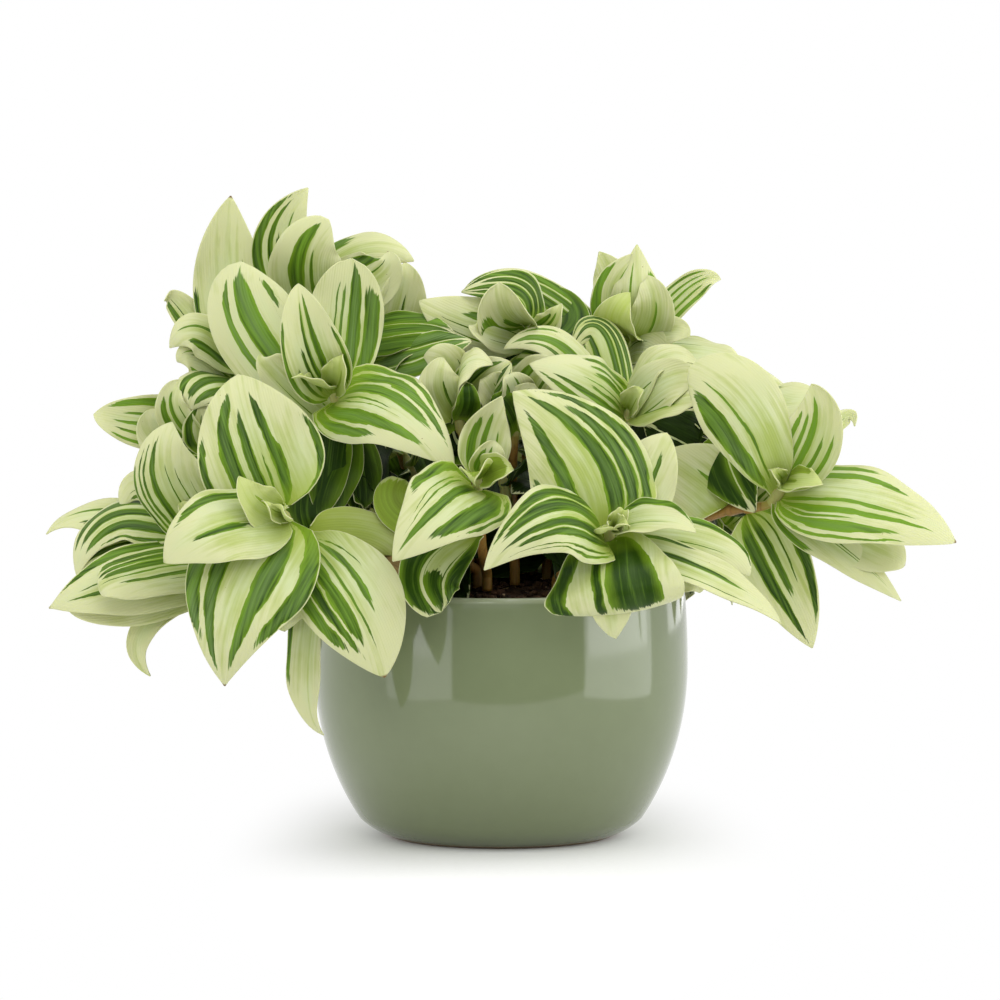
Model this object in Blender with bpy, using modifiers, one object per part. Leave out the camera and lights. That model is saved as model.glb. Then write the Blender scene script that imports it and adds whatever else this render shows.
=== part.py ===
"""A variegated tradescantia growing in a round glazed pot.

The pot is a turned shell, filled with a low dome of soil.  Thirteen shoots rise from the soil,
lean out over the rim and carry the leaves.  Each leaf is a thin curved blade whose foot sits on
its stem.  Lengths in the tables are in millimetres, angles in degrees, +Y is the back.
"""
import math

import bmesh
import bpy
from mathutils import Vector

MM = 0.001                 # tables are in millimetres, the model is in metres
MERGE_DISTANCE = 0.0001    # metres; closes a turned solid at its axis

# Pot: two half ellipses meet at the belly, and near the bottom the wall turns under to a
# smaller flat foot
POT_HEIGHT = 111.0
POT_BELLY_RADIUS = 81.7
POT_BELLY_HEIGHT = 75.0
POT_LOWER_SEMI = 103.0     # how slowly the wall pulls in below the belly
POT_UPPER_SEMI = 181.0     # and above it
POT_WALL = 4.6
POT_FLOOR = 10.0
POT_TURN_HEIGHT = 8.0      # where the wall starts to turn under
POT_TURN_CORNER = (57.0, 3.0)   # radius and height that the turn is drawn towards
POT_FOOT_RADIUS = 48.5
POT_TURN_STEPS = 3
POT_SIDE_STEPS = 8
POT_RIM_STEPS = 4
TURNED_SIDES = 48          # faces round the pot and the soil

# Soil: a low dome just under the rim
SOIL_EDGE_HEIGHT = 105.5
SOIL_DOME_RISE = 7.0
SOIL_STEPS = 5

# Stems and leaves
STEM_RADIUS = 2.3
STEM_POINTS_PER_SPAN = 4
STEM_ROUNDNESS = 2         # bevel resolution, for eight sides
STEM_UPRIGHT = 7.0         # a stem leaves the soil upright over this height
STEM_LIFT = 0.65           # the foot of a stem clears the sloping soil by this much
SEAT_GAP = 0.3             # between touching pieces
LEAF_THICKNESS = 1.0
LEAF_ROWS = 6              # faces from foot to tip
LEAF_COLUMNS = 4           # faces across
LEAF_FOOT_WIDTH = 5.0
LEAF_TIP_WIDTH = 1.6
LEAF_SKEW = 0.72           # under 1 the leaf is broadest nearer its foot
LEAF_FULLNESS = 0.85       # the lower, the blunter both ends
LEAF_FLAT_BEND = 1e-6      # radians; a smaller bend is drawn as a straight line
LEAF_SEATING_STEPS = 6     # tries at moving the foot out until it clears the stem

# Colour and roughness of each finish
GLAZE = ((0.21, 0.25, 0.16, 1.0), 0.15)
SOIL = ((0.035, 0.018, 0.010, 1.0), 0.95)
STEM_SKIN = ((0.22, 0.25, 0.07, 1.0), 0.5)
LEAF_SKIN = ((0.60, 0.66, 0.36, 1.0), 0.45)

# Each shoot: where the stem leaves the soil (x, y), the points that it then passes through,
# and its leaves.  A leaf has: how far its node lies below the stem's tip, the middle and the
# tip of its midrib, the way its upper side faces, its width, the fold at the midrib and the
# bend of each half towards the upper side.
SHOOTS = {
    "upper_left": {
        "soil": (-24, -12), "route": [(-40, -24, 134), (-62, -36, 168), (-73, -42, 199)],
        "leaves": [
            (3, (-82, -56, 219), (-86, -54, 244), (0.1, -1, 0.1), 32, 10, 35),
            (11, (-67, -30, 226), (-64, -32, 252), (0.1, -1, 0.2), 34, 5, 20),
            (7, (-47, -72, 192), (-19, -86, 168), (0.2, -1, 0.45), 46, 0, -30),
            (16, (-104, -34, 222), (-112, -28, 252), (-0.1, -1, 0.2), 40, 0, -25),
        ],
    },
    "front_left": {
        "soil": (-38, -34), "route": [(-58, -56, 126), (-82, -80, 136), (-93, -90, 150)],
        "leaves": [
            (3, (-104, -88, 180), (-111, -81, 207), (0, -1, 0.15), 54, 0, 15),
            (11, (-119, -117, 145), (-142, -118, 130), (-0.2, -1, 0.5), 38, 0, -15),
            (18, (-110, -120, 114), (-116, -114, 76), (-0.1, -1, 0.25), 55, 0, -25),
            (26, (-62, -106, 114), (-48, -108, 80), (0.1, -1, 0.25), 46, 0, -20),
            (34, (-81, -88, 84), (-77, -86, 52), (-0.8, -0.6, 0.2), 30, 5, 20),
        ],
    },
    "side_left": {
        "soil": (-46, -8), "route": [(-78, -24, 122), (-116, -42, 127), (-130, -48, 140)],
        "leaves": [
            (5, (-142, -66, 162), (-140, -62, 186), (-0.2, -1, 0.2), 34, 0, -30),
            (18, (-175, -28, 141), (-198, -30, 134), (-0.2, -0.5, 0.9), 21, 0, -15),
            (7, (-164, -45, 143), (-183, -54, 119), (-0.3, -0.6, 0.9), 33, 0, -25),
            (22, (-160, -80, 119), (-187, -80, 106), (-0.3, -1, 0.5), 36, 0, -20),
        ],
    },
    "front_middle": {
        "soil": (-6, -36), "route": [(-8, -58, 130), (-9, -76, 148), (-10, -86, 164)],
        "leaves": [
            (4, (-6, -77, 181), (0, -82, 195), (0.1, -1, 0.1), 24, 5, 30),
            (6, (-24, -112, 153), (-46, -120, 131), (-0.1, -0.9, 0.5), 44, 0, -20),
            (30, (-31, -90, 124), (-27, -100, 111), (0.3, -0.9, 0.4), 28, 10, -20),
        ],
    },
    "front_right": {
        "soil": (24, -42), "route": [(33, -68, 124), (43, -92, 132), (47, -100, 145)],
        "leaves": [
            (4, (34, -97, 173), (5, -90, 200), (0.1, -1, 0.3), 56, 0, -30),
            (8, (22, -126, 150), (-8, -130, 128), (-0.1, -1, 0.5), 40, 0, -30),
            (10, (83, -116, 126), (118, -120, 106), (0.1, -0.7, 0.8), 22, 0, 10),
            (18, (45, -122, 114), (49, -110, 96), (0, -0.9, 0.5), 54, 0, -15),
        ],
    },
    "middle_right": {
        "soil": (26, -14), "route": [(38, -24, 134), (48, -34, 162), (55, -42, 190)],
        "leaves": [
            (3, (38, -62, 201), (12, -62, 211), (-0.1, -0.9, 0.6), 34, 0, -30),
        ],
    },
    "side_right": {
        "soil": (50, -14),
        "route": [(72, -34, 134), (96, -44, 145), (115, -51, 149), (121, -54, 160)],
        "leaves": [
            (5, (102, -80, 191), (78, -74, 209), (-0.2, -1, 0.4), 38, 0, -25),
            (2, (137, -48, 183), (134, -50, 201), (-0.2, -1, 0.1), 30, 0, 30),
            (9, (157, -76, 150), (195, -70, 135), (0.1, -0.8, 0.6), 42, 0, -18),
            (12, (140, -66, 132), (172, -62, 107), (0.1, -0.8, 0.6), 27, 0, -10),
            (24, (120, -48, 118), (134, -50, 87), (0.2, -1, 0.1), 37, 0, -10),
        ],
    },
    "top_right": {
        "soil": (14, 16), "route": [(26, 14, 150), (38, 12, 194), (57, 7, 210), (60, 4, 222)],
        "leaves": [
            (5, (59, -10, 236), (59, -2, 256), (0, 1, 0.1), 26, 10, 20),
            (6, (82, 8, 237), (96, 8, 243), (0, -1, 0.4), 17, 0, 20),
            (24, (16, 8, 236), (-14, 6, 239), (-0.1, -0.9, 0.5), 28, 0, -30),
            (32, (86, -6, 209), (125, -20, 197), (0.1, -0.4, 0.9), 32, 0, -20),
        ],
    },
    "high_left": {
        "soil": (-48, 14), "route": [(-76, 6, 138), (-100, 0, 172), (-112, -6, 206)],
        "leaves": [
            (3, (-119, 14, 243), (-118, 16, 278), (0.1, -1, 0.1), 35, 5, 20),
            (1.5, (-130, -20, 221), (-145, -18, 214), (-0.1, -0.9, 0.5), 22, 0, -25),
            (30, (-152, -16, 181), (-176, -20, 186), (-0.1, -1, 0.3), 30, 0, 15),
        ],
    },
    "top_left": {
        "soil": (-20, 14), "route": [(-38, 8, 150), (-54, 2, 196), (-88, 8, 236)],
        "leaves": [
            (5, (-95, 6, 258), (-84, 4, 282), (0, -1, 0.2), 30, 5, 20),
            (9, (-84, -12, 252), (-74, -12, 269), (0.2, -1, 0.2), 33, 0, -20),
            (4, (-63, 4, 254), (-38, -2, 252), (0.1, -0.7, 0.5), 26, 0, -30),
            (50, (-44, -2, 232), (-41, -4, 250), (0.3, -1, 0.1), 26, 5, 20),
            (60, (-36, -20, 214), (-16, -22, 215), (0.1, -0.6, 0.8), 24, 10, 20),
        ],
    },
    "back_left": {
        "soil": (-36, 36), "route": [(-52, 62, 130), (-66, 82, 154), (-74, 92, 176)],
        "leaves": [
            (4, (-100, 102, 192), (-122, 106, 184), (-0.3, 0.4, 1), 40, 0, -20),
            (10, (-82, 122, 160), (-88, 134, 130), (-0.1, 1, 0.4), 40, 0, -20),
            (16, (-112, 80, 150), (-138, 84, 128), (-0.5, 0.3, 1), 38, 0, -20),
        ],
    },
    "back_right": {
        "soil": (36, 36), "route": [(54, 58, 128), (74, 74, 146), (90, 84, 164)],
        "leaves": [
            (4, (116, 92, 180), (138, 96, 172), (0.3, 0.4, 1), 40, 0, -20),
            (10, (104, 112, 146), (112, 122, 116), (0.2, 1, 0.4), 40, 0, -20),
        ],
    },
    "back_middle": {
        "soil": (0, 46), "route": [(2, 70, 132), (4, 86, 158), (4, 94, 182)],
        "leaves": [
            (4, (-16, 116, 188), (-30, 128, 170), (-0.2, 0.8, 0.7), 40, 0, -20),
            (10, (26, 118, 166), (34, 132, 138), (0.2, 1, 0.4), 40, 0, -20),
        ],
    },
}


def clear_scene():
    for obj in list(bpy.data.objects):
        bpy.data.objects.remove(obj, do_unlink=True)


def new_material(name, finish):
    colour, roughness = finish
    material = bpy.data.materials.new(name)
    material.use_nodes = True
    shader = material.node_tree.nodes["Principled BSDF"]
    shader.inputs["Base Color"].default_value = colour
    shader.inputs["Roughness"].default_value = roughness
    shader.inputs["Metallic"].default_value = 0.0
    return material


def add_object(name, data, collection, finish):
    obj = bpy.data.objects.new(name, data)
    obj.data.materials.append(new_material(name, finish))
    collection.objects.link(obj)
    return obj


def pot_radius(height):
    """Outer radius of the pot at a height."""
    rise = height - POT_BELLY_HEIGHT
    semi = POT_UPPER_SEMI if rise > 0 else POT_LOWER_SEMI
    return POT_BELLY_RADIUS * math.sqrt(1 - (rise / semi) ** 2)


def soil_height(radius):
    """Height of the soil's surface at a distance from the middle of the pot."""
    share = min(radius / pot_radius(SOIL_EDGE_HEIGHT), 1.0)
    return SOIL_EDGE_HEIGHT + SOIL_DOME_RISE * (1 + math.cos(math.pi * share)) / 2


def turned(name, profile, collection, finish):
    """A solid of revolution round Z, from (radius, height) points in millimetres."""
    mesh = bpy.data.meshes.new(name)
    points = [(radius * MM, 0, height * MM) for radius, height in profile]
    edges = [(i, i + 1) for i in range(len(points) - 1)]
    mesh.from_pydata(points, edges, [])
    obj = add_object(name, mesh, collection, finish)
    screw = obj.modifiers.new("turn", 'SCREW')
    screw.axis = 'Z'
    screw.angle = math.tau
    screw.steps = TURNED_SIDES
    screw.render_steps = TURNED_SIDES
    screw.use_merge_vertices = True
    screw.merge_threshold = MERGE_DISTANCE
    screw.use_smooth_shade = True
    return obj


def wall_heights(bottom, top, steps):
    """Evenly spaced heights, from the top down."""
    return [top + (bottom - top) * i / steps for i in range(steps + 1)]


def make_pot(collection):
    rim_radius = POT_WALL / 2
    rim_height = POT_HEIGHT - rim_radius
    rim_middle = pot_radius(rim_height) - rim_radius
    inner = [(pot_radius(z) - POT_WALL, z) for z in wall_heights(POT_FLOOR, rim_height, POT_SIDE_STEPS)]
    inner.reverse()
    rim = []
    for i in range(1, POT_RIM_STEPS):
        angle = math.pi * (1 - i / POT_RIM_STEPS)
        rim.append((rim_middle + rim_radius * math.cos(angle), rim_height + rim_radius * math.sin(angle)))
    outer = [(pot_radius(z), z) for z in wall_heights(POT_TURN_HEIGHT, rim_height, POT_SIDE_STEPS)]
    wall_end = Vector(outer[-1])
    corner = Vector(POT_TURN_CORNER)
    edge = Vector((POT_FOOT_RADIUS, 0))
    turn = []
    for i in range(1, POT_TURN_STEPS + 1):
        share = i / POT_TURN_STEPS
        turn.append(tuple((1 - share) ** 2 * wall_end + 2 * share * (1 - share) * corner
                          + share ** 2 * edge))
    profile = [(0, POT_FLOOR)] + inner + rim + outer + turn + [(0, 0)]
    return turned("pot", profile, collection, GLAZE)


def make_soil(collection):
    gap = POT_WALL + SEAT_GAP
    bottom = POT_FLOOR + SEAT_GAP
    edge = pot_radius(SOIL_EDGE_HEIGHT) - gap
    dome = [(edge * i / SOIL_STEPS, soil_height(edge * i / SOIL_STEPS)) for i in range(SOIL_STEPS)]
    side = [(pot_radius(z) - gap, z) for z in wall_heights(bottom, SOIL_EDGE_HEIGHT, POT_SIDE_STEPS)]
    profile = dome + side + [(0, bottom)]
    return turned("soil", profile, collection, SOIL)


def stem_path(soil, route):
    """Points along a smooth stem, upright where it leaves the soil."""
    foot = Vector((soil[0], soil[1], soil_height(math.hypot(*soil)) + STEM_LIFT))
    knots = [foot, foot + Vector((0, 0, STEM_UPRIGHT))] + [Vector(point) for point in route]
    knots.append(2 * knots[-1] - knots[-2])
    path = [foot]
    for i in range(1, len(knots) - 2):
        before, start, end, after = knots[i - 1:i + 3]
        for step in range(STEM_POINTS_PER_SPAN):
            t = step / STEM_POINTS_PER_SPAN
            path.append(0.5 * (2 * start + (end - before) * t
                               + (2 * before - 5 * start + 4 * end - after) * t ** 2
                               + (3 * start - before - 3 * end + after) * t ** 3))
    path.append(knots[-2])
    return path


def point_below_tip(path, drop):
    """Point and direction on a stem at a distance below its tip."""
    for i in range(len(path) - 1, 0, -1):
        span = path[i] - path[i - 1]
        if drop <= span.length:
            return path[i] - span.normalized() * drop, span.normalized()
        drop -= span.length
    raise ValueError("the leaf starts below the foot of its stem")


def make_stem(name, path, collection):
    curve = bpy.data.curves.new(name, 'CURVE')
    curve.dimensions = '3D'
    curve.bevel_depth = STEM_RADIUS * MM
    curve.bevel_resolution = STEM_ROUNDNESS
    curve.use_fill_caps = True
    spline = curve.splines.new('POLY')
    spline.points.add(len(path) - 1)
    for point, place in zip(spline.points, path):
        point.co = (*(place * MM), 1.0)
    return add_object(name, curve, collection, STEM_SKIN)


def leaf_outline(share):
    """Half width of a leaf, of its greatest, at a share of the way from foot to tip."""
    if not 0 < share < 1:
        return 0.0
    return math.sin(math.pi * share ** LEAF_SKEW) ** LEAF_FULLNESS


def half_section(reach, fold, bend):
    """How far out and how far up one half of a leaf gets at a share of its width."""
    if abs(bend) < LEAF_FLAT_BEND:
        return reach * math.cos(fold), reach * math.sin(fold)
    angle = fold + bend * reach
    return (math.sin(angle) - math.sin(fold)) / bend, (math.cos(fold) - math.cos(angle)) / bend


def leaf_frame(foot, control, tip, face, share):
    """Directions ahead, upward and sideways on a leaf, carried along the midrib without twist."""
    middle_ahead = (tip - foot).normalized()
    middle_up = (face - face.dot(middle_ahead) * middle_ahead).normalized()
    ahead = ((1 - share) * (control - foot) + share * (tip - control)).normalized()
    up = middle_ahead.rotation_difference(ahead) @ middle_up
    return ahead, up, up.cross(ahead)


def leaf_foot(node, along, middle, tip, face):
    """Where a leaf starts beside its stem, and the control point of its midrib.

    The foot moves out until the nearest point of the leaf's end clears the stem by the gap.
    """
    outward = middle - node
    outward = (outward - outward.dot(along) * along).normalized()
    clear = STEM_RADIUS + SEAT_GAP
    reach = clear
    for _ in range(LEAF_SEATING_STEPS):
        foot = node + outward * reach
        control = 2 * middle - (foot + tip) / 2
        _, up, side = leaf_frame(foot, control, tip, face, 0.0)
        nearest = math.inf
        for across in (-1.0, -0.5, 0.0, 0.5, 1.0):
            for level in (-1.0, 1.0):
                point = side * across * LEAF_FOOT_WIDTH / 2 + up * level * LEAF_THICKNESS / 2
                point += outward * reach
                nearest = min(nearest, (point - point.dot(along) * along).length)
        reach += clear - nearest
    return foot, control


def make_leaf(name, path, leaf, collection):
    drop, middle, tip, face, width, fold, bend = leaf
    middle, tip, face = Vector(middle), Vector(tip), Vector(face)
    fold, bend = math.radians(fold), math.radians(bend)
    node, along = point_below_tip(path, drop)
    foot, control = leaf_foot(node, along, middle, tip, face)

    mesh = bpy.data.meshes.new(name)
    grid = bmesh.new()
    bmesh.ops.create_grid(grid, x_segments=LEAF_ROWS, y_segments=LEAF_COLUMNS, size=1.0)
    for vert in grid.verts:
        share = (vert.co.x + 1) / 2
        across = vert.co.y
        rib = (1 - share) ** 2 * foot + 2 * share * (1 - share) * control + share ** 2 * tip
        _, up, side = leaf_frame(foot, control, tip, face, share)
        least = LEAF_FOOT_WIDTH + (LEAF_TIP_WIDTH - LEAF_FOOT_WIDTH) * share
        half = max(width * leaf_outline(share), least) / 2
        out, lift = half_section(abs(across), fold, bend)
        vert.co = (rib + (side * math.copysign(out, across) + up * lift) * half) * MM
    grid.to_mesh(mesh)
    grid.free()
    mesh.shade_smooth()
    obj = add_object(name, mesh, collection, LEAF_SKIN)
    solid = obj.modifiers.new("thickness", 'SOLIDIFY')
    solid.thickness = LEAF_THICKNESS * MM
    solid.offset = 0.0
    return obj


def main():
    clear_scene()
    collection = bpy.data.collections.new("potted_tradescantia")
    bpy.context.scene.collection.children.link(collection)
    make_pot(collection)
    make_soil(collection)
    for shoot, parts in SHOOTS.items():
        path = stem_path(parts["soil"], parts["route"])
        make_stem(f"stem_{shoot}", path, collection)
        for number, leaf in enumerate(parts["leaves"], 1):
            make_leaf(f"leaf_{shoot}_{number}", path, leaf, collection)


main()
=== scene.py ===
import math
import random

import bmesh
import bpy
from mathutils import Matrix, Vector, noise


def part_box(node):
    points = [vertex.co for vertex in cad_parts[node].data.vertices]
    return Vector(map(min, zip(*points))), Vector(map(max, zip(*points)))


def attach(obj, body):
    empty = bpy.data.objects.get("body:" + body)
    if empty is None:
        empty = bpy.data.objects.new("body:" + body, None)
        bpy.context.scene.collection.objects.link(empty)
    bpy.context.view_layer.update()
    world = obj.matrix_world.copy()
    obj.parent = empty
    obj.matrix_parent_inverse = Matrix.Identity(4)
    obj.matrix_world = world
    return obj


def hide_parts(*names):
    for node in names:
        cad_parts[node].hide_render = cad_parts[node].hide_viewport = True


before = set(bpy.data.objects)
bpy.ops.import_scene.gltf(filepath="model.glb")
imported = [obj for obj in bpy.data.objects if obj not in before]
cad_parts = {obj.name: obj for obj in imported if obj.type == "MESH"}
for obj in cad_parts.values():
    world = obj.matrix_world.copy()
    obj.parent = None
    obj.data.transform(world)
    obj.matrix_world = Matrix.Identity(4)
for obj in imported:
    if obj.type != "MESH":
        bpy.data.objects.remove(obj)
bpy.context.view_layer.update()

mm = 0.001   # lengths below are in millimetres, the scene is in metres
potLow, potHigh = (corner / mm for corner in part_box("pot"))
soilFloor = (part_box("soil")[0] / mm).z


def hexColour(code):
    # sRGB hex to the linear colour that shaders use
    parts = [int(code[i:i + 2], 16) / 255 for i in (1, 3, 5)]
    return tuple(p / 12.92 if p <= 0.04045 else ((p + 0.055) / 1.055) ** 2.4 for p in parts) + (1.0,)


def feed(tree, node, inputs):
    # a value is set, a socket is linked, and a node is linked by the first output it has in use
    for socket, value in inputs.items():
        if isinstance(value, bpy.types.Node):
            value = next(output for output in value.outputs if output.enabled)
        if isinstance(value, bpy.types.NodeSocket):
            tree.links.new(value, node.inputs[socket])
        else:
            node.inputs[socket].default_value = value
    return node


def addNode(tree, kind, inputs=None, **settings):
    node = tree.nodes.new("ShaderNode" + kind)
    for name, value in settings.items():
        setattr(node, name, value)
    return feed(tree, node, inputs or {})


def newMaterial(name):
    material = bpy.data.materials.new(name)
    material.use_nodes = True
    tree = material.node_tree
    return material, tree, tree.nodes["Principled BSDF"]


def newPiece(name, mesh, material, slotName, *nodes):
    # every piece rides on the one body and stands for the CAD nodes named
    piece = bpy.data.objects.new(name, mesh)
    bpy.context.scene.collection.objects.link(piece)
    mesh.materials.append(material)
    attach(piece, "root")
    if nodes:
        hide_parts(*nodes)
    return piece


def meshFrom(name, build):
    mesh = bpy.data.meshes.new(name)
    cage = bmesh.new()
    build(cage)
    cage.to_mesh(mesh)
    cage.free()
    mesh.shade_smooth()
    return mesh


# the pot: slip-cast stoneware, dipped in a sage green gloss glaze

pot = {
    "wall": 4.6, "floor": 10.0,         # mm
    "bellyHeight": 75.0, "lowerSemi": 103.0, "upperSemi": 181.0,
    # where the wall turns under, the radius and height that the turn is drawn towards, the foot
    "turnHeight": 8.0, "turnCorner": (57.0, 3.0), "footRadius": 48.5,
    "sides": 160, "sideSteps": 44, "rimSteps": 12, "footSteps": 8,
    # the deep glaze colour is painted shade, darkening the glaze towards the foot
    "glaze": "#7D8866", "thinGlazeAndHighlight": "#B9C0A2", "footShadeGlaze": "#6A7354", "clay": "#8A7A62",
    "roughness": 0.09, "clayRoughness": 0.75, "ior": 1.52,
    "bareFoot": 1.3,                    # mm of clay left without glaze
    "bareEdge": (0.45, 0.15),           # mm above that over which the glaze ends
    "edgeWander": (4.0, 0.6),           # mm between that line's waves, and their height
    "breakWidth": 2.6,                  # mm over which the glaze thins towards the lip, painted paler there, partly as a highlight
    "mottle": 9.0, "mottleShare": 0.25,             # mm, and strength, of the glaze's soft clouding
    "footShadeSpan": (85.0, 6.0), "footShadeShares": (-0.1, 0.8),     # mm, from where down the glaze is painted darker, as shade towards the foot
    "orangePeel": 3.0, "peelStrength": 0.05, "peelHeight": 0.1,     # its faint ripples, in mm
}
potHeight = potHigh.z
potBelly = (potHigh.x - potLow.x) / 2


def potRadius(height):
    rise = height - pot["bellyHeight"]
    semi = pot["upperSemi"] if rise > 0 else pot["lowerSemi"]
    return potBelly * math.sqrt(1 - (rise / semi) ** 2)


def potProfile():
    # from the middle of the floor, up the inside, over the lip and down the outside
    lip = pot["wall"] / 2
    top = potHeight - lip
    steps = pot["sideSteps"]
    inner = [pot["floor"] + (top - pot["floor"]) * i / steps for i in range(steps + 1)]
    points = [(0, pot["floor"])] + [(potRadius(z) - pot["wall"], z) for z in inner]
    for i in range(1, pot["rimSteps"]):
        turn = math.pi * (1 - i / pot["rimSteps"])
        points.append((potRadius(top) - lip + lip * math.cos(turn), top + lip * math.sin(turn)))
    low = pot["turnHeight"]
    points += [(potRadius(z), z) for z in (top + (low - top) * i / steps for i in range(steps + 1))]
    wallEnd, corner, edge = Vector(points[-1]), Vector(pot["turnCorner"]), Vector((pot["footRadius"], 0))
    for i in range(1, pot["footSteps"] + 1):
        share = i / pot["footSteps"]
        points.append((1 - share) ** 2 * wallEnd + 2 * share * (1 - share) * corner + share ** 2 * edge)
    return points + [(0, 0)]


def turnedMesh(name, points, sides):
    # a profile of (radius, height) turned once round Z
    mesh = bpy.data.meshes.new(name + "Profile")
    edges = [(i, i + 1) for i in range(len(points) - 1)]
    mesh.from_pydata([(r * mm, 0, z * mm) for r, z in points], edges, [])
    guide = bpy.data.objects.new(name + "Profile", mesh)
    bpy.context.scene.collection.objects.link(guide)
    screw = guide.modifiers.new("turn", "SCREW")
    screw.steps = sides
    screw.render_steps = sides
    screw.use_merge_vertices = True
    screw.merge_threshold = 0.01 * mm
    screw.use_smooth_shade = True
    solid = bpy.data.meshes.new_from_object(guide.evaluated_get(bpy.context.evaluated_depsgraph_get()))
    solid.name = name
    bpy.data.objects.remove(guide, do_unlink=True)
    return solid


def glazedStoneware():
    # the glaze is a thin glass coat: sharp reflections, darker towards the foot as painted shade, and a
    # paler line where it runs off the lip, partly its thinning and partly a painted highlight; the foot is
    # wiped bare to the clay
    material, tree, shader = newMaterial("sageGlazedStoneware")
    place = addNode(tree, "TexCoord").outputs["Object"]
    height = addNode(tree, "SeparateXYZ", {0: place}).outputs["Z"]
    cloud = addNode(tree, "TexNoise", {"Vector": place, "Scale": 1 / (pot["mottle"] * mm), "Detail": 3.0})
    upper, lower = pot["footShadeSpan"]
    least, most = pot["footShadeShares"]
    # painted shade: the glaze darkens from the belly down towards the foot, on top of its soft clouding
    footShade = addNode(tree, "MapRange", {0: height, 1: upper * mm, 2: lower * mm, 3: least, 4: most})
    mottleAndFootShade = addNode(tree, "Math", {0: cloud, 1: pot["mottleShare"], 2: footShade},
                     operation="MULTIPLY_ADD", use_clamp=True)
    body = addNode(tree, "Mix", {0: mottleAndFootShade, 6: hexColour(pot["glaze"]), 7: hexColour(pot["footShadeGlaze"])},
                   data_type="RGBA")
    # paler towards the lip: partly the glaze thinning, partly a painted highlight
    lipStart = (potHeight - pot["breakWidth"]) * mm
    thin = addNode(tree, "MapRange", {0: height, 1: lipStart, 2: potHeight * mm})
    glaze = addNode(tree, "Mix", {0: thin, 6: body, 7: hexColour(pot["thinGlazeAndHighlight"])}, data_type="RGBA")
    length, swing = pot["edgeWander"]
    edge = addNode(tree, "TexNoise", {"Vector": place, "Scale": 1 / (length * mm), "Detail": 2.0})
    wander = addNode(tree, "Math", {0: edge, 1: swing * mm, 2: height}, operation="MULTIPLY_ADD")
    lowestGlaze, highestClay = ((pot["bareFoot"] + above) * mm for above in pot["bareEdge"])
    bare = addNode(tree, "MapRange", {0: wander, 1: lowestGlaze, 2: highestClay})
    colour = addNode(tree, "Mix", {0: bare, 6: glaze, 7: hexColour(pot["clay"])}, data_type="RGBA")
    rough = addNode(tree, "MapRange", {0: bare, 3: pot["roughness"], 4: pot["clayRoughness"]})
    ripple = addNode(tree, "TexNoise", {"Vector": place, "Scale": 1 / (pot["orangePeel"] * mm),
                                        "Detail": 1.0})
    bump = addNode(tree, "Bump", {"Strength": pot["peelStrength"], "Distance": pot["peelHeight"] * mm,
                                  "Height": ripple})
    feed(tree, shader, {"Base Color": colour, "Roughness": rough, "Normal": bump, "IOR": pot["ior"]})
    return material


newPiece("glazed_pot", turnedMesh("glazed_pot", potProfile(), pot["sides"]), glazedStoneware(),
         "glazed_ceramic", "pot")
print("pot done")


# the soil: moist peat with crumbs of bark and a few pale grains

soil = {
    "edgeHeight": 105.5, "domeRise": 7.0, "gap": 0.3,
    "rings": 46, "sides": 180, "sideRings": 8, "shoulder": 2.0,
    "lump": 9.0, "lumpHeight": 1.3,     # mm
    "grain": 2.2, "grainHeight": 0.8,   # mm
    "sink": 0.6, "smoothEdge": 1.0,     # mm that the rough top lies lower, and stays smooth at its edge
    "crumbs": 900, "crumbSizes": (0.5, 1.9), "seed": 4,
    "crumbMargin": 2.5,                 # mm that crumbs stay off the edge
    "crumbWide": (0.7, 1.4), "crumbTall": (0.6, 1.0), "crumbRough": 0.45, "crumbKnobs": 1.3,
    "crumbSkew": 1.3, "crumbLift": 0.1,     # above 1, more are small; share of their size they stand up
    "dark": "#2A1A10", "light": "#6B4A33", "pale": "#A98F70", "roughness": 0.9,
    "cell": 1.6, "fibre": 0.8, "patch": 7.0, "fibreHeight": 0.4,     # mm, of the peat's own grain
    "dampShare": (0.15, 0.42), "paleCells": (0.955, 0.97),
}
soilRadius = potRadius(soil["edgeHeight"]) - pot["wall"] - soil["gap"]


def soilHeight(radius):
    share = min(radius / potRadius(soil["edgeHeight"]), 1.0)
    return soil["edgeHeight"] + soil["domeRise"] * (1 + math.cos(math.pi * share)) / 2


def soilMesh():
    top = [(soilRadius * i / soil["rings"], soilHeight(soilRadius * i / soil["rings"]))
           for i in range(soil["rings"])]
    shoulder, steps = soil["edgeHeight"] - soil["shoulder"], soil["sideRings"]
    down = [shoulder - (shoulder - soilFloor) * i / steps for i in range(steps + 1)]
    side = [(soilRadius, soil["edgeHeight"])]
    side += [(potRadius(z) - pot["wall"] - soil["gap"], z) for z in down]
    mesh = turnedMesh("potting_soil", top + side + [(0, soilFloor)], soil["sides"])
    margin = soil["smoothEdge"]
    for vertex in mesh.vertices:
        spot = vertex.co / mm
        reach = math.hypot(spot.x, spot.y)
        if spot.z > soil["edgeHeight"] - margin and reach < soilRadius - margin:
            lump = noise.noise(spot / soil["lump"]) * soil["lumpHeight"]
            grain = noise.noise(spot / soil["grain"]) * soil["grainHeight"]
            vertex.co.z += (lump + grain - soil["sink"]) * mm
    return mesh


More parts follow.
